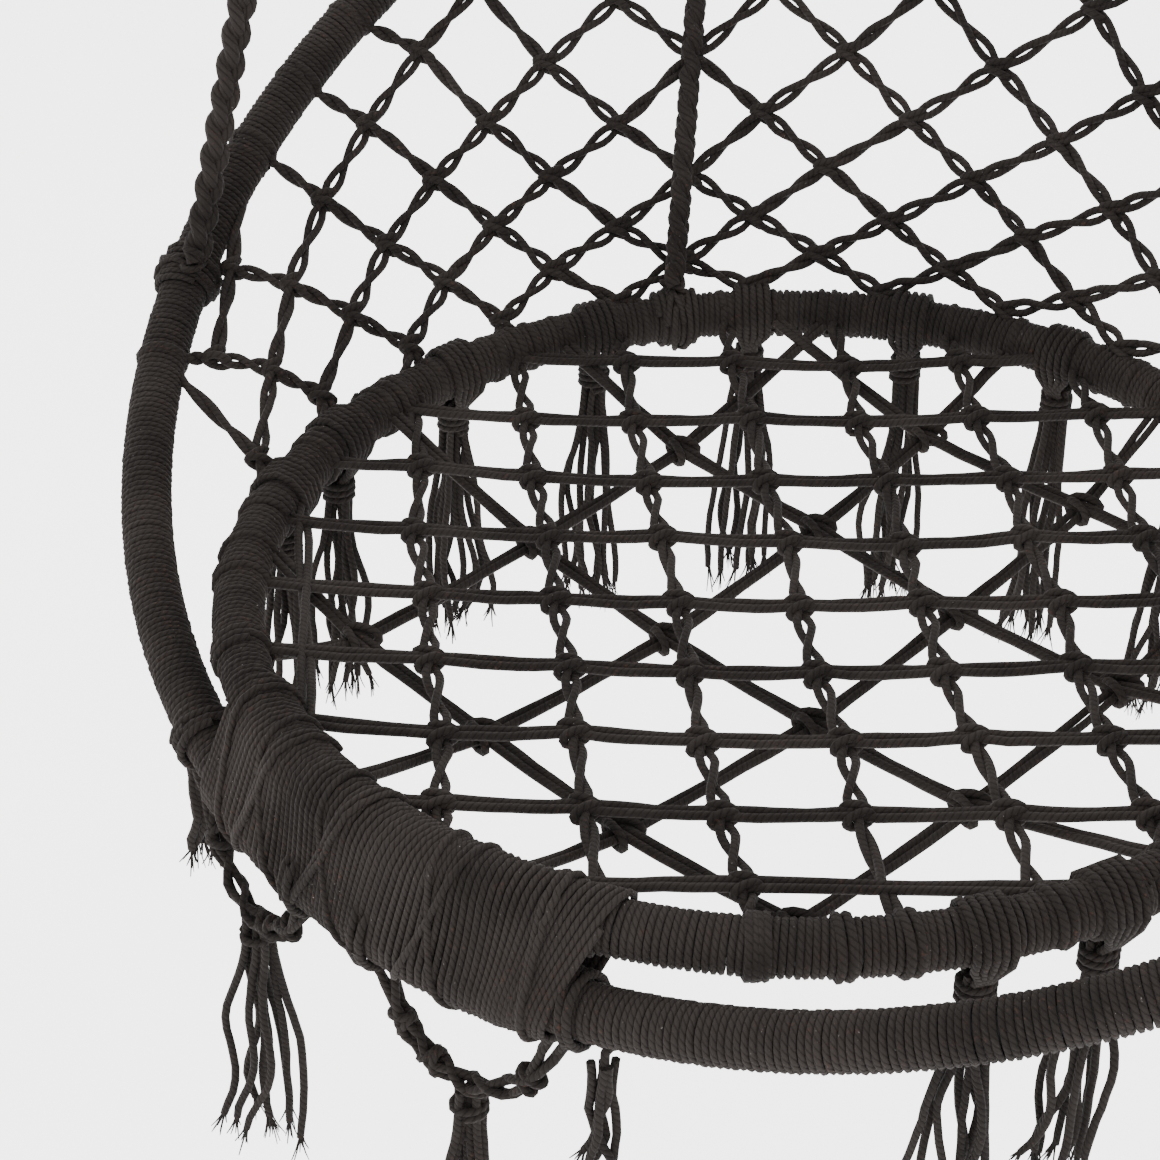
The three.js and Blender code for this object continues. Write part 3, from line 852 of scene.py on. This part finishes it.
class SEAT_OT_stage(bpy.types.Operator):
    """Floor, soft lights and the camera"""
    bl_idname = "seat.stage"
    bl_label = "Stage"

    def execute(self, context):
        scene = context.scene
        floor = bpy.data.meshes.new("floor")
        size = 60.0
        floor.from_pydata([(-size, -size, FLOOR_LEVEL), (size, -size, FLOOR_LEVEL),
                           (size, size, FLOOR_LEVEL), (-size, size, FLOOR_LEVEL)],
                          [], [(0, 1, 2, 3)])
        ground = bpy.data.objects.new("floor", floor)
        scene.collection.objects.link(ground)
        material, g, surface = blank_material("pale_floor")
        place = g.add("ShaderNodeTexCoord").outputs["Object"]
        cloud = g.ramp(g.noise(place, 3.0, 4.0), 0.3, 0.7)
        g.put(surface.inputs["Base Color"],
              g.mix(cloud, (0.93, 0.93, 0.93, 1), (0.95, 0.95, 0.95, 1)))
        hold(surface, Roughness=0.9, Emission_Color=(1, 1, 1, 1), Emission_Strength=1.6)
        floor.materials.append(material)
        world = bpy.data.worlds.new("soft_white")
        world.use_nodes = True
        world.node_tree.nodes["Background"].inputs["Color"].default_value = (1, 1, 1, 1)
        world.node_tree.nodes["Background"].inputs["Strength"].default_value = 2.6
        scene.world = world
        for name, place, aim, power, size in (
                ("key", (2.2, -2.6, 1.9), (0, 0, -0.55), 95.0, 2.2),
                ("fill", (-2.8, -1.6, 0.9), (0, 0, -0.55), 45.0, 2.6),
                ("rear", (-0.6, 2.8, 1.8), (0, 0, -0.45), 55.0, 2.0)):
            lamp = bpy.data.lights.new(name, "AREA")
            lamp.energy, lamp.size = power, size
            holder = bpy.data.objects.new(name, lamp)
            holder.location = place
            beam = Vector(aim) - Vector(place)
            holder.rotation_euler = beam.to_track_quat("-Z", "Y").to_euler()
            scene.collection.objects.link(holder)
        lens = bpy.data.cameras.new("camera")
        lens.lens, lens.sensor_width = 84.2, 36.0
        lens.shift_x, lens.shift_y = -0.0168, -0.0075
        lens.clip_start, lens.clip_end = 0.05, 40.0
        eye = Vector((0.7960, -0.9729, 0.0774))
        look = Vector((-0.614, 0.5959, -0.5176)).normalized()
        level = look.cross(Z_AXIS).normalized()
        rise = level.cross(look)
        roll = math.radians(2.5)
        right = level * math.cos(roll) + rise * math.sin(roll)
        up = right.cross(look)
        turn = Matrix((right, up, -look)).transposed().to_4x4()
        camera = bpy.data.objects.new("camera", lens)
        camera.matrix_world = Matrix.Translation(eye) @ turn
        scene.collection.objects.link(camera)
        scene.camera = camera
        return {"FINISHED"}


class SEAT_OT_ropes(bpy.types.Operator):
    """Six braided ropes that carry the hoops"""
    bl_idname = "seat.ropes"
    bl_label = "Ropes"

    def execute(self, context):
        sizes = context.scene.seat_cords
        material = rope_cotton()
        for side, sign in SIDES:
            foot = Vector((sign * HANG_HALF_SPAN, 0, NECK_TOP - NECK_LENGTH))
            front_angle = sign * FRONT_ROPE_ANGLE
            rear_angle = 180 - sign * REAR_ROPE_ANGLE
            inner = BACK.radius - 0.012
            front_end = BACK.at(front_angle, inner, 0.013)
            rear_end = BACK.at(rear_angle, inner, 0.014)
            net_start = BACK.at(rear_angle, inner + 0.004, -0.013)
            net_end = SEAT.at(rear_angle, SEAT.radius + 0.002, 0.019)
            routes = (
                (f"front_rope_{side}", foot + Vector((0, -0.0085, 0.004)), front_end),
                (f"rear_rope_{side}", foot + Vector((0, 0.0085, 0.002)), rear_end),
                (f"net_rope_{side}", net_start, net_end),
            )
            for name, start, end in routes:
                points = [mix_points(start, end, i / 24) for i in range(25)]
                piece = grow(name + "_braid", braid_tree(), {
                    "Strand Radius": sizes.rope_strand / 2, "Half Width": 0.0044,
                    "Half Depth": 0.0026, "Pitch": sizes.rope_pitch, "Step": 0.0028,
                    "Sides": 8, "Material": material}, chain_mesh(name, [points]))
                if name.startswith("net"):
                    join_back_to_seat(piece)
                else:
                    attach(piece, "back")
                finish_piece(piece, "rope_cotton", name)
        return {"FINISHED"}


def join_back_to_seat(piece):
    """Bakes the piece's placement into its mesh; it stays unparented to either hoop's body."""
    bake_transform(piece)


class SEAT_OT_hoops(bpy.types.Operator):
    """Cord wound tightly on both steel hoops"""
    bl_idname = "seat.hoops"
    bl_label = "Wound hoops"

    def execute(self, context):
        sizes = context.scene.seat_cords
        radius = sizes.winding_cord / 2
        for label, hoop in (("back", BACK), ("seat", SEAT)):
            turns = round(2 * math.pi * hoop.radius / (sizes.winding_cord * 0.95))
            piece = grow(f"{label}_hoop_cord", wound_hoop_tree(), {
                "Hoop Radius": hoop.radius, "Wind Radius": WOUND_RADIUS - radius,
                "Cord Radius": radius, "Turns": turns,
                "Points Per Turn": 15, "Sides": sizes.cord_sides,
                "Start Angle": 0.0, "End Angle": 2 * math.pi, "Tilt": hoop.tilt,
                "Centre": tuple(hoop.centre), "Unevenness": sizes.unevenness,
                "Seed": 3 if label == "back" else 8, "Material": winding_cotton(),
            }, bpy.data.meshes.new(label))
            settle(piece, label, "wound_cord", f"{label}_hoop_winding")
            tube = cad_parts[f"{label}_hoop_tube"]
            dark = metal("painted_tube", (0.012, 0.012, 0.013, 1), (0.03, 0.03, 0.032, 1),
                         0.35, 0.6, 0.4)
            if not tube.material_slots:
                tube.data.materials.append(dark)
            for slot in tube.material_slots:
                slot.material = dark
        return {"FINISHED"}


def lashing_section(angle):
    """The two hoops' centres at one place of the lashing, and the way along it."""
    high = SEAT.at(angle)
    low_angle = math.degrees(math.asin(max(-1.0, min(1.0, high.x / BACK.radius))))
    return BACK.at(low_angle), high, SEAT.tangent(angle)


def round_both(angle, share, radius):
    """A point at a share of the way round both hoops."""
    low, high, along = lashing_section(angle)
    e = (high - low)
    gap = e.length
    e.normalize()
    f = along.cross(e).normalized()
    total = 2 * math.pi * radius + 2 * gap
    d = (share % 1.0) * total
    arc = math.pi * radius
    if d < arc:
        a = d / radius
        return high + f * (radius * math.cos(a)) + e * (radius * math.sin(a))
    d -= arc
    if d < gap:
        return high - f * radius - e * d
    d -= gap
    if d < arc:
        a = d / radius
        return low - f * (radius * math.cos(a)) - e * (radius * math.sin(a))
    d -= arc
    return low + f * radius + e * d


class SEAT_OT_lashing(bpy.types.Operator):
    """Cord that binds the seat hoop to the back hoop at the front"""
    bl_idname = "seat.lashing"
    bl_label = "Front lashing"

    def execute(self, context):
        sizes = context.scene.seat_cords
        rng = random.Random(17)
        reach = math.radians(LASHING_END - LASHING_START) * SEAT.radius
        turns = int(reach / (sizes.winding_cord * 0.98))
        base, steps = [], 22
        for i in range(turns * steps + 1):
            lap = i / steps
            angle = LASHING_START + (LASHING_END - LASHING_START) * lap / turns
            wobble = 0.5 * math.sin(lap * 0.9) + 0.3 * math.sin(lap * 2.3)
            slant = 0.9 * math.sin(2 * math.pi * lap) * math.sin(lap * 0.21)
            base.append(round_both(angle + slant, lap, 0.0170 + 0.0004 * wobble))
        chains = [base]
        fans = ((-19.5, 5.0, 2), (-13.0, 9.0, 1), (-10.0, -6.0, 2), (-2.5, 7.5, 1),
                (1.5, -9.0, 2), (11.0, 6.0, 1), (14.5, -7.0, 1), (22.0, 4.0, 2))
        for start, sweep, strands in fans:
            for twin in range(strands):
                line = []
                for k in range(31):
                    t = k / 30
                    angle = start + twin * rng.uniform(0.8, 1.3) * (1 - t) + sweep * t * t
                    angle = max(LASHING_START + LASHING_EDGE,
                                min(LASHING_END - LASHING_EDGE, angle))
                    line.append(round_both(angle, 0.24 - 0.62 * t,
                                           0.0187 + 0.0006 * twin))
                chains.append(line)
        piece = cords("front_lashing_cord", chains, sizes.winding_cord, winding_cotton())
        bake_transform(piece)
        finish_piece(piece, "wound_cord", "front_lashing")
        return {"FINISHED"}


class SEAT_OT_hitches(bpy.types.Operator):
    """Turns that hold each rope on its hoop"""
    bl_idname = "seat.hitches"
    bl_label = "Hitches"

    def execute(self, context):
        size = context.scene.seat_cords.winding_cord
        rng = random.Random(5)
        groups = {"back": ([], []), "seat": ([], [])}
        for side, sign in SIDES:
            hub = Vector((sign * HANG_HALF_SPAN, 0, 0))
            for body, hoop, kind, angle, toward in (
                    ("back", BACK, "front", sign * FRONT_ROPE_ANGLE, hub),
                    ("back", BACK, "rear", 180 - sign * REAR_ROPE_ANGLE, hub),
                    ("seat", SEAT, "seat", 180 - sign * REAR_ROPE_ANGLE,
                     BACK.at(180 - sign * REAR_ROPE_ANGLE))):
                chains, nodes = groups[body]
                nodes.append(f"{kind}_rope_hitch_{side}")
                chains.append(ring_turns(hoop, angle, 6.4, size * 1.05, 0.0156, rng))
                for lean in (-0.006, 0.005):
                    chains.append(ring_turns(hoop, angle, 1.1, 0.004, 0.0180, rng,
                                             rng.uniform(2, 4), lean))
                inset = -0.012 if body == "back" else 0.002
                top = hoop.at(angle, hoop.radius + inset, 0.015)
                chains += square_knot(top, (toward - top).normalized(), hoop.out(angle), 0.0072,
                                      rng)
        for body, (chains, nodes) in groups.items():
            piece = cords(f"{body}_rope_hitches", chains, size, winding_cotton())
            settle(piece, body, "wound_cord", *nodes)
        return {"FINISHED"}


class SEAT_OT_hangers(bpy.types.Operator):
    """Steel rings, and the whipped eyes that turn on them"""
    bl_idname = "seat.hangers"
    bl_label = "Rings and eyes"

    def execute(self, context):
        size = context.scene.seat_cords.winding_cord
        steel = four(context.scene.seat_finishes.steel_colour)
        places = bpy.data.meshes.new("rings")
        places.from_pydata([(s * HANG_HALF_SPAN, 0, RING_RADIUS) for _, s in SIDES], [], [])
        bright = metal("bright_ring", steel, tuple(c * 0.72 for c in steel[:3]) + (1.0,),
                       0.2, 0.42, 1.0)
        rings = grow("hanging_rings", ring_tree(), {
            "Ring Radius": RING_RADIUS, "Bar Radius": RING_BAR_RADIUS, "Material": bright,
        }, places)
        settle(rings, "hangers", "ring_steel", "hanging_ring_left", "hanging_ring_right")
        rng = random.Random(11)
        chains = []
        for _, sign in SIDES:
            hub = Vector((sign * HANG_HALF_SPAN, 0, 0))
            line = []
            for i in range(25 * 12 + 1):
                lap = i / 12
                a, b = 2 * math.pi * lap / 25, 2 * math.pi * lap
                spoke = Vector((0, math.sin(a), -math.cos(a)))
                line.append(hub + spoke * (EYE_RADIUS + 0.0032 * math.cos(b))
                            + X_AXIS * (0.0032 * math.sin(b)))
            chains.append((line, [0.85] * len(line)))
            middle = hub + Vector((0, 0, NECK_TOP - NECK_LENGTH / 2))
            chains.append(ring_path(middle, -Z_AXIS, X_AXIS, 0.0147, 0.0147, 10.6, size * 1.02,
                                    rng.uniform(0, 6), 18))
            for i in range(9):
                a = 2 * math.pi * i / 9
                reach = 0.0095 if i % 3 else 0.0045
                line = []
                for k in range(9):
                    t = k / 8
                    pinch = 1 - 0.35 * smooth_step(1 - t * 2)
                    line.append(hub + Vector((
                        reach * pinch * math.cos(a + 0.6 * t),
                        reach * pinch * math.sin(a + 0.6 * t),
                        NECK_TOP - 0.002 - (NECK_LENGTH + 0.001) * t)))
                chains.append(line)
        piece = cords("rope_eyes", chains, size, winding_cotton())
        settle(piece, "back", "rope_cotton", "rope_eye_left", "rope_eye_right")
        return {"FINISHED"}


# Back net: half columns are counted from the rear, rows from the seat hoop. Rows stand farther
# apart towards the back hoop, and a little farther at the sides.
NET_HALF_COLUMNS = 18
NET_LEAN = 2.3
NET_EDGE = 0.024                   # no knot nearer than this to the back hoop
NET_ENDS = (-104, 123)             # the net stops here, from the rear towards +X and -X
LAST_TIE = 142                     # no cord ties to the back hoop beyond this


def column_angle(k, step):
    side = 1 if k >= 0 else -1
    m = abs(k)
    return 180 + side * (step * m - 1.05 * max(0, m - 9)) + NET_LEAN


def row_height(r, from_rear):
    side = smooth_step((abs(from_rear) - 60) / 48)
    return 0.01335 * r + 0.002155 * r * r + side * 0.018 * r / (1 + 0.08 * r)


def slant(angle):
    low, high = SEAT.at(angle), BACK.at(angle)
    return low, (high - low).normalized(), (high - low).length


class SEAT_OT_back_net(bpy.types.Operator):
    """Diamond net knotted between the seat hoop and the back hoop"""
    bl_idname = "seat.back_net"
    bl_label = "Back net"

    def execute(self, context):
        net, size = context.scene.seat_nets, context.scene.seat_cords.net_cord
        rng = random.Random(29)
        knots = {}
        for k in range(-NET_HALF_COLUMNS, NET_HALF_COLUMNS + 1):
            angle = column_angle(k, net.column_step)
            low, way, length = slant(angle)
            for r in range(1, 14):
                height = row_height(r, angle - 180)
                inside = height < length - NET_EDGE and NET_ENDS[0] < angle - 180 < NET_ENDS[1]
                if (r + k) % 2 and inside:
                    loose = Vector([rng.uniform(-0.0022, 0.0022) for _ in range(3)])
                    knots[k, r] = (low + way * height + loose, angle, height, way)
        chains, seat_ties, back_ties = [], [], []
        for (k, r), (place, angle, height, way) in knots.items():
            face = way.cross(SEAT.tangent(angle)).normalized()
            chains += square_knot(place, way, face, net.knot_width, rng)
            length = slant(angle)[2]
            for step in (-1, 1):
                if (k + step, r + 1) in knots:
                    chains += crossed_pair(place, knots[k + step, r + 1][0], face,
                                           net.eye_width, rng, bow=rng.uniform(-0.002, 0.001))
                else:
                    there = column_angle(k + step, net.column_step)
                    rise = row_height(r + 1, there - 180) - height
                    part = min(1.0, (length - height) / rise)
                    tie = angle + (there - angle) * part
                    if abs(tie - 180) < LAST_TIE:
                        end = BACK.at(tie)
                        end = end + (place - end).normalized() * 0.0125
                        chains += crossed_pair(place, end, face, net.eye_width * 0.8, rng)
                        back_ties.append(tie)
                if r == 1 or (abs(k + step) > NET_HALF_COLUMNS and (k + step, r - 1) not in knots):
                    tie = angle + step * net.column_step * (0.32 if r == 1 else 1.0)
                    end = SEAT.at(tie)
                    end = end + (place - end).normalized() * 0.0118
                    chains += crossed_pair(place, end, face, net.eye_width * 0.45, rng, steps=5)
                    seat_ties.append(tie)
        piece = cords("back_net_cords", chains, size, net_cotton(), wander=0.0016)
        join_back_to_seat(piece)
        finish_piece(piece, "net_cord", "back_net_left", "back_net_middle", "back_net_right")
        for body, hoop, ties in (("back", BACK, back_ties), ("seat", SEAT, seat_ties)):
            turns = []
            for tie in ties:
                turns.append(ring_turns(hoop, tie, 1.1, size, 0.0127, rng,
                                        rng.uniform(0, 6), 0.0015))
            knots_piece = cords(f"{body}_net_ties", turns, size, net_cotton())
            settle(knots_piece, body, "net_cord")
        return {"FINISHED"}


def seat_plane(x, y, drop):
    return SEAT.centre + X_AXIS * x + SEAT.to_rear * y - SEAT.normal * drop


def grid_lines(heading, offsets, reach):
    """Straight lines across the seat: their heading, and where each one starts and ends."""
    a = math.radians(heading)
    way, side = Vector((math.cos(a), math.sin(a))), Vector((-math.sin(a), math.cos(a)))
    lines = []
    for offset in offsets:
        if abs(offset) < reach * 0.93:
            half = math.sqrt(reach * reach - offset * offset)
            lines.append((side * offset - way * half, side * offset + way * half))
    return lines


def meeting(first, second):
    """Where two lines of a grid cross, as shares of their lengths, or None."""
    p, r = first[0], first[1] - first[0]
    q, s = second[0], second[1] - second[0]
    cross = r.x * s.y - r.y * s.x
    if abs(cross) < 1e-12:
        return None
    d = q - p
    t, u = (d.x * s.y - d.y * s.x) / cross, (d.x * r.y - d.y * r.x) / cross
    return (t, u) if 0.05 < t < 0.95 and 0.05 < u < 0.95 else None


def knotted_grid(rows, columns, depth, sag, reach, knot, open_columns, rng):
    """Pairs of cords across the seat, knotted where rows and columns meet."""
    chains, ends = [], []

    def place(flat):
        share = 1 - flat.length_squared / (reach * reach)
        return seat_plane(flat.x, flat.y, depth * min(1.0, 7 * share) + sag * share)

    def stray(i, j):
        noise = random.Random(i * 97 + j * 13 + 5)
        return Vector((noise.uniform(-1, 1), noise.uniform(-1, 1))) * 0.0035

    crossings = {}
    for i, row in enumerate(rows):
        for j, column in enumerate(columns):
            hit = meeting(row, column)
            if hit:
                spot = mix_points(row[0], row[1], hit[0]) + stray(i, j)
                crossings[i, j] = (hit[0], hit[1], spot)
    for family, lines in (("row", rows), ("column", columns)):
        for n, line in enumerate(lines):
            index = 0 if family == "row" else 1
            hits = sorted((c[index], c[2]) for key, c in crossings.items() if key[index] == n)
            stops = [line[0]] + [spot for _, spot in hits] + [line[1]]
            for a, b in zip(stops, stops[1:]):
                pa, pb = place(a), place(b)
                lift = SEAT.normal * (0.0012 if family == "row" else -0.0012)
                if family == "column" and open_columns:
                    chains += crossed_pair(pa + lift, pb + lift, SEAT.normal,
                                           0.0036, rng, bow=-0.0008)
                    continue
                across = SEAT.normal.cross(pb - pa).normalized()
                for sign in (-1, 1):
                    cord = []
                    for k in range(9):
                        t = k / 8
                        spread = 0.00215 + 0.0005 * math.sin(2 * math.pi * t + n)
                        cord.append(mix_points(pa, pb, t) + across * (sign * spread) + lift
                                    - SEAT.normal * (0.0012 * math.sin(math.pi * t)))
                    chains.append(cord)
            for end in (line[0], line[1]):
                ends.append(math.degrees(math.atan2(end.x, -end.y)))
    for (i, j), (_, _, spot) in crossings.items():
        column = columns[j]
        along = seat_plane(*(column[1] - column[0]), 0) - SEAT.centre
        chains += square_knot(place(spot), along, SEAT.normal, knot, rng)
    return chains, ends


class SEAT_OT_seat_nets(bpy.types.Operator):
    """Knotted grid of the seat, and the coarser net under it"""
    bl_idname = "seat.seat_nets"
    bl_label = "Seat nets"

    def execute(self, context):
        net, size = context.scene.seat_nets, context.scene.seat_cords.net_cord
        rng = random.Random(41)
        reach = SEAT.radius - 0.011
        columns = grid_lines(-37, [0.005 + net.seat_column_pitch * j for j in range(-4, 5)], reach)
        rows = grid_lines(45, [-0.009 - net.seat_row_pitch * i for i in range(-4, 5)], reach)
        chains, ends = knotted_grid(rows, columns, 0.0, 0.012, reach, net.knot_width * 1.02,
                                    True, rng)
        piece = cords("seat_grid_cords", chains, size, net_cotton(), wander=0.0014)
        settle(piece, "seat", "net_cord", "seat_net")
        deep = SEAT.radius - 0.014
        under_rows = grid_lines(0, [-0.180, -0.045, 0.080, 0.190], deep)
        under_columns = grid_lines(95, [0.155, 0.052, -0.053, -0.160], deep)
        chains, low_ends = knotted_grid(under_rows, under_columns, 0.014, 0.026, deep,
                                        net.knot_width * 1.35, False, rng)
        piece = cords("under_net_cords", chains, size, net_cotton(), wander=0.0014)
        settle(piece, "seat", "net_cord", "under_net")
        turns = []
        for angle in ends + low_ends:
            at_rear = abs(angle) > 100
            turns.append(ring_turns(SEAT, angle, 1.1 if at_rear else 1.6, size,
                                    0.0127 if at_rear else 0.0137, rng, rng.uniform(0, 6), 0.002))
        piece = cords("seat_grid_ties", turns, size, net_cotton())
        settle(piece, "seat", "net_cord")
        return {"FINISHED"}


class SEAT_OT_fringe(bpy.types.Operator):
    """Tassels tied under the seat hoop"""
    bl_idname = "seat.fringe"
    bl_label = "Fringe"

    def execute(self, context):
        sizes, cord = context.scene.seat_fringe, context.scene.seat_cords.winding_cord
        for side, sign in SIDES:
            rng = random.Random(60 + sign)
            chains, yarns, nodes = [], [], []
            for i in range(7):
                angle = 180 - sign * (LAST_TASSEL_ANGLE if i == 6 else TASSEL_STEP * (i + 0.5))
                low, high = (Vector(c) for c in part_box(f"tassel_{side}_{i + 1}"))
                middle = (low + high) / 2
                top = Vector((middle.x, middle.y, high.z - 0.004))
                full = high.z - low.z - 0.006
                lengths = (1.0, 0.985, 0.93, 0.92, 0.87, 0.80, 0.90)
                strands, loose = loose_tassel(top, full * lengths[i], rng, sizes)
                chains += strands
                yarns += loose
                chains.append(tied_head(top, rng))
                foot = top + Vector((0, 0, -0.008))
                for offset in (-0.0088, -0.0044, 0.0, 0.0044, 0.0088):
                    chains.append(folded_over(SEAT, angle, foot, offset, 0.0160))
                nodes.append(f"tassel_{side}_{i + 1}")
            piece = cords(f"fringe_{side}", chains, cord * 1.18, fringe_cotton(), wander=0.0020,
                          seed=6 + sign)
            settle(piece, "seat", "fringe_cotton", *nodes)
            piece = cords(f"fringe_yarns_{side}", yarns, YARN_DIAMETER, fringe_cotton(), sides=4)
            settle(piece, "seat", "fringe_cotton")
        return {"FINISHED"}


class SEAT_OT_swags(bpy.types.Operator):
    """Knotted swags and their tassels under the lashing"""
    bl_idname = "seat.swags"
    bl_label = "Swags"

    def execute(self, context):
        sizes, cord = context.scene.seat_fringe, context.scene.seat_cords.winding_cord
        for side, sign in SIDES:
            rng = random.Random(80 + sign)
            chains, yarns = [], []
            points = []
            for i in range(SWAG_STEPS + 1):
                t = i / SWAG_STEPS
                angle = sign * (SWAG_START + SWAG_SPAN * t)
                drop = (0.012 + 0.018 * smooth_step(min(t, 1 - t) * 5)
                        + 0.033 * math.sin(math.pi * t))
                points.append(BACK.at(angle) + Vector((0, -0.004, -drop)))
            for n, (wide, phase) in enumerate(((0.0042, 0.0), (0.0042, 3.14), (0.0030, 1.2),
                                               (0.0030, 4.3))):
                line = []
                for i, point in enumerate(points):
                    way = (points[min(i + 1, SWAG_STEPS)] - points[max(i - 1, 0)]).normalized()
                    across = way.cross(Vector((0, 1, 0))).normalized()
                    deep = across.cross(way)
                    a = phase + 2 * math.pi * i / SWAG_STEPS * (3 if n < 2 else -2)
                    line.append(point + across * (wide * math.sin(a)) + deep * (wide * math.cos(a)))
                chains.append(line)
            for i in (4, 8, 20):
                chains += square_knot(points[i], points[i + 1] - points[i - 1], Vector((0, -1, 0)),
                                      0.0062, rng)
            for i in (0, SWAG_STEPS):
                angle = sign * (SWAG_START + SWAG_SPAN * i / SWAG_STEPS)
                for n in range(2):
                    chains.append(ring_turns(BACK, angle + 0.7 * n, 1.15, 0.003, 0.0212 if i == 0
                                             else 0.0170, rng, rng.uniform(0, 6),
                                             rng.uniform(-0.003, 0.003)))
            for kind in ("front", "small"):
                low, high = (Vector(c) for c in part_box(f"{kind}_tassel_{side}"))
                middle = (low + high) / 2
                top = Vector((middle.x, middle.y, high.z + 0.002))
                strands, loose = loose_tassel(top, high.z - low.z, rng, sizes,
                                              0.0185 if kind == "front" else 0.009)
                if kind == "small":
                    strands, loose = strands[:5], loose[:5 * sizes.fibres]
                chains += strands
                yarns += loose
                if kind == "small":
                    for n in range(2):
                        chains.append([top + Vector((0, 0, -0.004)), top + Vector((0, 0, 0.006)),
                                       BACK.at(sign * 20, BACK.radius, -0.013)
                                       + X_AXIS * 0.004 * n])
                else:
                    chains.append(tied_head(top, rng, 0.0076, 1.6))
            piece = cords(f"swag_cords_{side}", chains, cord * 1.2, fringe_cotton(), wander=0.0016)
            settle(piece, "back", "fringe_cotton", f"swag_{side}", f"front_tassel_{side}",
                   f"small_tassel_{side}")
            piece = cords(f"swag_yarns_{side}", yarns, YARN_DIAMETER, fringe_cotton(), sides=4)
            settle(piece, "back", "fringe_cotton")
        return {"FINISHED"}


class SEAT_PT_panel(bpy.types.Panel):
    """Lists the pieces of the hanging seat"""
    bl_idname = "SEAT_PT_panel"
    bl_label = "Hanging Seat"
    bl_space_type = "VIEW_3D"
    bl_region_type = "UI"
    bl_category = "Hanging Seat"

    def draw(self, context):
        layout, scene = self.layout, context.scene
        for group in (scene.seat_cords, scene.seat_nets, scene.seat_fringe, scene.seat_finishes):
            box = layout.box()
            for key in group.bl_rna.properties.keys():
                if key not in ("rna_type", "name"):
                    box.prop(group, key)
        for operator in OPERATORS:
            layout.operator(operator.bl_idname)


GROUPS = {"seat_cords": CordSizes, "seat_nets": NetSizes, "seat_fringe": FringeSizes,
          "seat_finishes": Finishes}
OPERATORS = (SEAT_OT_stage, SEAT_OT_ropes, SEAT_OT_hoops, SEAT_OT_lashing, SEAT_OT_hitches,
             SEAT_OT_hangers, SEAT_OT_back_net, SEAT_OT_seat_nets, SEAT_OT_fringe,
             SEAT_OT_swags)
CLASSES = tuple(GROUPS.values()) + OPERATORS + (SEAT_PT_panel,)


def register():
    for cls in CLASSES:
        bpy.utils.register_class(cls)
    for name, group in GROUPS.items():
        setattr(bpy.types.Scene, name, PointerProperty(type=group))


def unregister():
    for name in GROUPS:
        delattr(bpy.types.Scene, name)
    for cls in reversed(CLASSES):
        bpy.utils.unregister_class(cls)


def main():
    register()
    bpy.ops.seat.stage()
    bpy.ops.seat.ropes()
    bpy.ops.seat.hoops()
    bpy.ops.seat.lashing()
    bpy.ops.seat.hitches()
    bpy.ops.seat.hangers()
    bpy.ops.seat.back_net()
    bpy.ops.seat.seat_nets()
    bpy.ops.seat.fringe()
    bpy.ops.seat.swags()


if __name__ == "__main__":
    main()
